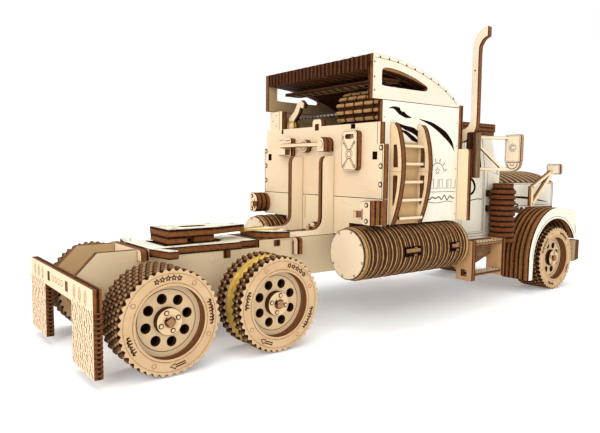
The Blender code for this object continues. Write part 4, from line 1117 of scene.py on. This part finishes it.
DECK_MARK, TONGUE_MARK, COUPLING_MARK = 50.14, 54.14, 58.14
coupling = np.array([(-93.4, 5.2), (-101.2, 7.2), (-113.2, 10.8), (-139.2, 10.8), (-139.2, -10.8),
                     (-113.2, -10.8), (-101.2, -7.2), (-93.4, -5.2)])
coupling_marks = [ribbon("XY", coupling, 0.35, COUPLING_MARK, 0.1, True),
                  ribbon("XY", [(-134.5, 10.6), (-134.5, 4.0), (-131.0, 4.0), (-131.0, -4.0),
                                (-134.5, -4.0), (-134.5, -10.6)], 0.4, COUPLING_MARK, 0.1)]
for x, y in ((-136.8, 8.4), (-136.8, -8.4), (-108.0, 7.4), (-108.0, -7.4), (-97.0, 0.0)):
    coupling_marks.append(hoop("XY", x, y, 1.1, 0.4, COUPLING_MARK))
engrave("coupling_marks", coupling_marks, "fifth_wheel")
arm = [(-148.6, 30.2), (-145.0, 30.2), (-144.3, 28.9), (-148.6, 17.4), (-150.6, 17.4)]
deck_marks = [ribbon("XY", arm, 0.3, DECK_MARK, 0.1, True)]
deck_marks += [hoop("XY", x, 15.4, 0.9, 0.35, DECK_MARK, 20) for x in (-140.0, -124.0, -95.0)]
deck_marks += [hoop("XZ", x, z, 1.2, 0.5, 16.95)
               for x, z in ((-170.0, 24.0), (60.0, 36.0), (110.0, 40.0))]
tenons = [bar((x0, 16.6, z0), (x1, 17.5, z1), 0.1)
          for x0, z0, x1, z1 in ((-112.0, 42.4, -108.0, 46.6), (-80.0, 46.2, -76.0, 49.6),
                                 (-20.0, 41.2, -16.4, 45.0))]
tenons.append(bar((-67.4, 17.2, 40.8), (-62.6, 18.2, 48.6), 0.4))
plug = lathe("Y", (-118.0, 0, 42.0), [(2.1, 16.9), (2.1, 17.03), (2.0, 17.06)], 32)
tenon_ply = ply("tenon_ends", "x", 0.0, "z", (0.20, 0.09, 0.035), (0.15, 0.055, 0.02))
engrave("deck_marks", both_sides(deck_marks))
piece("rail_plugs", both_sides([plug]), ply_y)
engrave("rail_tenons", both_sides(tenons), material=tenon_ply)
tongue = np.array([(-66.0, 12.6), (-70.8, 12.6), (-70.8, 19.5), (-73.0, 19.5), (-81.0, 16.0),
                   (-86.5, 8.0), (-86.5, -8.0), (-81.0, -16.0), (-73.0, -19.5), (-70.8, -19.5),
                   (-70.8, -12.6), (-66.0, -12.6)])
tongue_marks = [ribbon("XY", inset(tongue, 0.8), 0.3, TONGUE_MARK, 0.1, True)]
for y in (-10.4, 10.4):
    tongue_marks.append(hoop("XY", -74.5, y, 1.2, 0.4, TONGUE_MARK))
engrave("tongue_marks", tongue_marks)

# ---------------------------------------------------------------- shelf
# The thin shelf behind the drum is almost black: its faces are painted shade of the space under
# the roof, its edges scorched. Its two rows of round holes are black patches of painted shade.

shelf = [plate("XY", [(-27.0, -46.6), (-14.0, -46.6), (-14.0, 46.6), (-27.0, 46.6)], 138.2, 140.2)]
shelf_shade_ply = ply("shelf_shade_ply", "z", 138.2, "y", (0.30, 0.165, 0.075), (0.10, 0.035, 0.012))
piece("roof_shelf_sheet", shelf, shelf_shade_ply, replaces="roof_shelf")
shelf_holes = []
for n in range(13):
    for row, x in ((0, -24.4), (0.5, -19.0)):
        y = -43.5 + 7.0 * (n + row)
        if y < 45:
            shelf_holes.append(pin("Z", (x, y, 0), 2.0, 138.13, 138.3))
            shelf_holes.append(pin("Z", (x, y, 0), 2.0, 140.1, 140.27))
engrave("shelf_holes", shelf_holes, material=black)

# ---------------------------------------------------------------- tank fittings
# Two slots in each tank's side hold small pale tabs. The rear end discs have seven ring dowels
# and a burnt border, and two burnt seams run along the top of the stack.

# Each slot is drawn as a black patch of painted shade.
slots, tabs = [], []
bow = arc(0, 0, 1, -11, 11, 12)
slot_loop = np.concatenate([bow * 15.12, bow[::-1] * 14.5]) + (TANK_Y, TANK_Z + 0.5)
for x0, x1 in ((-22.6, -8.6), (17.4, 26.6)):
    slots.append(plate("YZ", slot_loop, x0, x1, 0.02))
    tabs.append(plate("XZ", box(x0 + 1.8, 42.4, x1 - 1.2, 44.9), 59.6, 61.9, 0.2))
    middle = 0.5 * (x0 + x1)
    tabs.append(plate("XZ", box(middle + 1.4, 40.8, middle + 3.6, 45.6), 59.6, 61.6, 0.2))
tank_marks = [hoop("YZ", *arc(TANK_Y, TANK_Z, 12.6, angle, angle, 1)[0], 0.55, 0.3, TANK_X - 0.06, 16)
              for angle in (30, 75, 120, 210, 255, 300, 345)]
tank_marks.append(hoop("YZ", TANK_Y, TANK_Z, 13.6, 0.22, TANK_X - 0.06, 96))
for y, z in ((52.4, 56.1), (38.0, 55.1)):
    tank_marks.append(ribbon("XY", [(-47.0, y), (32.0, y)], 0.3, z, 0.12))
tab_ply = ply("tab_ply", "z", 42.4, "x", (0.74, 0.56, 0.34), (0.34, 0.18, 0.08))
engrave("tank_slots", both_sides(slots), material=black)
piece("tank_tabs", both_sides(tabs), tab_ply)
engrave("tank_marks", both_sides(tank_marks))

# ---------------------------------------------------------------- cab roof and sides
# The cab's roof and sun visor are flat plies with scorched edges. The sides carry a thick black
# curl, a ruled line and the outlines of the doors; two dark arms hold each air cleaner.

visor_ply = ply("cab_roof_plies", "z", 115.5, "y", VENEER, (0.20, 0.075, 0.025), pitch=2.65)
roof_sheets = [bar((38.8, -40.25, low), (89.5, 40.25, high), 0.1)
               for low, high in ((115.5, 118.1), (118.15, 120.8))]
roof_sheets += both_sides([bar((40.0, 38.2, 112.9), (88.4, 40.1, 115.4), 0.1)])
piece("cab_roof_sheets", roof_sheets, visor_ply)
horn_loop = [(41.0, 120.8), (52.0, 120.8), (52.0, 122.6), (47.5, 126.4), (44.4, 126.4)]
horns = [plate("XZ", horn_loop, low, low + 3.6, 0.2) for low in (-27.0, -23.3, 23.4, 27.1)]
engrave("cab_roof_horns", horns, material=silencer_ply)
CAB_MARK, DOOR_MARK = 37.95, 37.86
cab_marks = [ribbon("XZ", path, 0.3, CAB_MARK, 0.1)
             for path in ([(39.5, 50.4), (56.0, 50.4)], [(39.5, 44.0), (99.2, 44.0)],
                          [(86.0, 46.0), (86.0, 89.0), (98.8, 86.2)],
                          [(54.8, 45.0), (54.8, 115.4)])]
cab_marks += [hoop("XZ", 97.0, z, 0.8, 0.35, CAB_MARK, 16) for z in (52.0, 64.0, 76.0, 88.0)]
engrave("cab_marks", both_sides(cab_marks))
ruled = curve([(58.5, 67.6), (66.0, 68.6), (74.0, 69.6), (80.4, 69.4)], 24)
door_marks = [ribbon("XZ", box(58.2, 47.2, 80.8, 89.0), 0.3, DOOR_MARK, 0.1, True),
              ribbon("XZ", ruled, 0.6, DOOR_MARK, 0.1),
              ribbon("XZ", box(62.0, 78.8, 66.4, 80.2), 0.35, DOOR_MARK, 0.1, True)]
curl = curve([(58.4, 86.0), (63.6, 85.2), (69.6, 82.0), (71.8, 77.4), (69.0, 73.6), (64.4, 73.4),
              (63.8, 76.4), (67.0, 78.0)], 60)
width = np.interp(np.linspace(0, 1, 60), [0, 0.35, 0.7, 1], [0.5, 2.2, 1.6, 0.4])
door_curl = [ribbon("XZ", curl, width, DOOR_MARK, 0.1)]
for side, hand in SIDES:
    engrave(f"door_{hand}_marks", mirrored(door_marks, side), f"door_{hand}")
    engrave(f"door_{hand}_curl", mirrored(door_curl, side), f"door_{hand}", black)
arms = [bar((84.0, 38.2, 71.2), (97.0, 46.0, 75.6), 0.3),
        bar((84.0, 38.2, 60.8), (97.0, 46.0, 65.0), 0.3)]
engrave("cleaner_arms", both_sides(arms), material=silencer_ply)

# ---------------------------------------------------------------- mirrors and marker lamps
# A mirror is an upright sheet over a half-round foot, at the end of a thin triangular frame that
# is fixed to the door. A marker lamp stands on a triangular arm over the mudguard.

frame_ply = ply("mirror_frame", "y", 39.0, "z", (0.84, 0.68, 0.46), (0.42, 0.20, 0.08))
mirror_ply = ply("mirror_sheet", "x", 86.4, "z", (0.88, 0.75, 0.56), (0.48, 0.26, 0.12))
start, end = np.array([62.0, 39.4]), np.array([87.4, 52.6])
along_arm = (end - start) / np.linalg.norm(end - start)
across_arm = np.array([-along_arm[1], along_arm[0]])


def swung(grid):
    """A flat grid in XZ, laid along the slanting plan line of the mirror's frame."""
    points, *rest = grid
    plan = start + points[..., :1] * along_arm + points[..., 1:2] * across_arm
    return np.concatenate([plan, points[..., 2:]], -1), *rest


def strut(a, b, wide, low, high, ease):
    """A straight strip in XZ from a to b."""
    a, b = np.array(a), np.array(b)
    out = (b - a) / np.linalg.norm(b - a)
    half = np.array([-out[1], out[0]]) * wide / 2
    return plate("XZ", [a - half, b - half, b + half, a + half], low, high, ease)


def round_box(a0, b0, a1, b1, radius=1.4):
    """A rectangle's outline with round corners, from the corners' centres."""
    return np.concatenate([arc(a0, b0, radius, 180, 270, 6), arc(a1, b0, radius, 270, 360, 6),
                           arc(a1, b1, radius, 0, 90, 6), arc(a0, b1, radius, 90, 180, 6)])


bars = [swung(strut(a, b, wide, -1.1, 1.1, 0.15))
        for a, b, wide in (((0.6, 111.0), (28.6, 111.0), 1.9), ((0.6, 90.2), (28.6, 90.2), 1.9),
                           ((2.2, 109.8), (23.6, 90.8), 1.7), ((0.9, 89.4), (0.9, 111.8), 1.9),
                           ((5.4, 90.6), (5.4, 110.6), 1.2))]
bars.append(bar((60.2, 38.4, 88.4), (63.6, 40.5, 112.4), 0.3))
glass = round_box(51.6, 96.0, 60.6, 111.8)
foot = arc(56.1, 94.5, 5.6, 180, 360, 30)
mirror_sheets = [plate("YZ", glass, 86.4, 90.0, 0.25), plate("YZ", foot, 86.6, 89.8, 0.2)]
mirror_marks = [ribbon("YZ", arc(56.1, 94.2, 3.9, 185, 355, 30), 0.55, 86.52, 0.1),
                ribbon("YZ", arc(56.1, 94.0, 1.6, 190, 350, 16), 0.4, 86.52, 0.1),
                ribbon("YZ", arc(56.1, 104.4, 1.5, 30, 330, 24), 0.45, 86.33, 0.1),
                hoop("YZ", 56.1, 104.4, 2.6, 0.22, 86.33, 30),
                ribbon("YZ", inset(glass, 0.9), 0.22, 86.33, 0.1, True)]
marker_arm = [strut(a, b, wide, 38.2, 41.0, 0.2)
              for a, b, wide in (((139.2, 63.6), (166.6, 88.4), 3.0),
                                 ((138.4, 76.6), (165.0, 88.6), 2.2),
                                 ((138.4, 62.6), (138.4, 77.6), 3.0))]
lamp_loop = round_box(36.4, 88.0, 44.6, 93.2)
marker_sheet = [plate("YZ", lamp_loop, 167.2, 170.9, 0.25)]
marker_marks = [ribbon("YZ", inset(lamp_loop, 0.8), 0.25, 167.13, 0.1, True)]
for side, hand in SIDES:
    piece(f"mirror_{hand}_frame", mirrored(bars, side), frame_ply, f"door_{hand}",
          replaces=f"mirror_{hand}")
    piece(f"mirror_{hand}_sheet", mirrored(mirror_sheets, side), mirror_ply, f"door_{hand}",
          replaces=f"mirror_{hand}")
    engrave(f"mirror_{hand}_marks", mirrored(mirror_marks, side), f"door_{hand}")
    piece(f"marker_{hand}_arm", mirrored(marker_arm, side), frame_ply,
          replaces=f"marker_lamp_{hand}")
    piece(f"marker_{hand}_sheet", mirrored(marker_sheet, side), mirror_ply,
          replaces=f"marker_lamp_{hand}")
    engrave(f"marker_{hand}_marks", mirrored(marker_marks, side))

# ---------------------------------------------------------------- steps and bumper
# A step box has two pale treads full of small holes, drawn as black patches of painted shade,
# between its ends; behind them a near-black sheet is the painted shade inside the box. The bumper
# is a stack of three plies with an engraved face.

# Each small hole in the treads is a black patch of painted shade.
treads, holes = [], []
for z in (41.6, 22.4):
    treads.append(bar((44.8, 51.6, z), (73.0, 59.4, z + 2.0), 0.15))
    for x in 46.9 + 3.05 * np.arange(9):
        for y in (53.1, 55.4, 57.7):
            holes.append(plate("XY", box(x, y, x + 1.7, y + 1.1), z + 1.92, z + 2.06, 0.02))
END_MIDDLE = (54.0, 24.4)
ends = [ring_plate("YZ", facing_loop(np.array(box(48.0, 19.6, 60.0, 45.2)), END_MIDDLE, 120),
                   facing_loop(np.array(box(51.8, 22.2, 56.2, 26.6)), END_MIDDLE, 120), 41.0, 44.7),
        plate("YZ", box(48.0, 20.2, 59.6, 44.8), 73.0, 76.7)]
shaded_inside = [plate("XZ", [(44.8, 34.0), (58.0, 29.0), (72.9, 34.0), (72.9, 44.4), (44.8, 44.4)],
                48.2, 51.4)]
end_ply = ply("step_ends", "x", 41.0, "z", (0.47, 0.27, 0.13), char=(0.35, 0.85))
tread_sheet = ply("step_treads", "z", 41.6, "x", (0.84, 0.70, 0.50), (0.30, 0.14, 0.055), pitch=2.0)
# The sheet behind the treads is near-black: painted shade inside the step box.
step_back_shade = ply("step_back", "y", 48.2, "x", (0.11, 0.045, 0.018))
for side, hand in SIDES:
    for word, grids, wood, cad_node in (("ends", ends, end_ply, f"steps_{hand}"),
                                        ("treads", treads, tread_sheet, f"steps_{hand}"),
                                        ("holes", holes, black, None),
                                        ("back", shaded_inside, step_back_shade, f"steps_{hand}")):
        slot = "birch_ply" if cad_node else "scorched_edge"
        piece(f"steps_{hand}_{word}", mirrored(grids, side), wood, "chassis", cad_node)

bumper_ply = ply("bumper_plies", "x", 184.7, "y", (0.62, 0.45, 0.26), (0.20, 0.08, 0.028), pitch=1.87)
bumper_loop = np.array([(-52.0, 35.2), (-52.0, 20.0), (-49.0, 18.0), (49.0, 18.0), (52.0, 20.0),
                        (52.0, 35.2)])
piece("bumper_board", [plate("YZ", bumper_loop, 184.7, 190.3, 0.2)], bumper_ply, replaces="bumper")
BUMPER_MARK = 190.24
bumper_marks = [ribbon("YZ", inset(bumper_loop, 1.6), 0.4, BUMPER_MARK, 0.1, True)]
for y in (-34.0, 34.0):
    bumper_marks += [hoop("YZ", y, 27.0, reach, 0.4, BUMPER_MARK, 40) for reach in (5.2, 3.9, 1.6)]
for y in np.linspace(-18.0, 18.0, 9):
    oval = circle(0, 0, 1, 24) * (1.3, 4.2) + (y, 27.0)
    bumper_marks.append(ribbon("YZ", oval, 0.5, BUMPER_MARK, 0.1, True))
engrave("bumper_marks", bumper_marks)
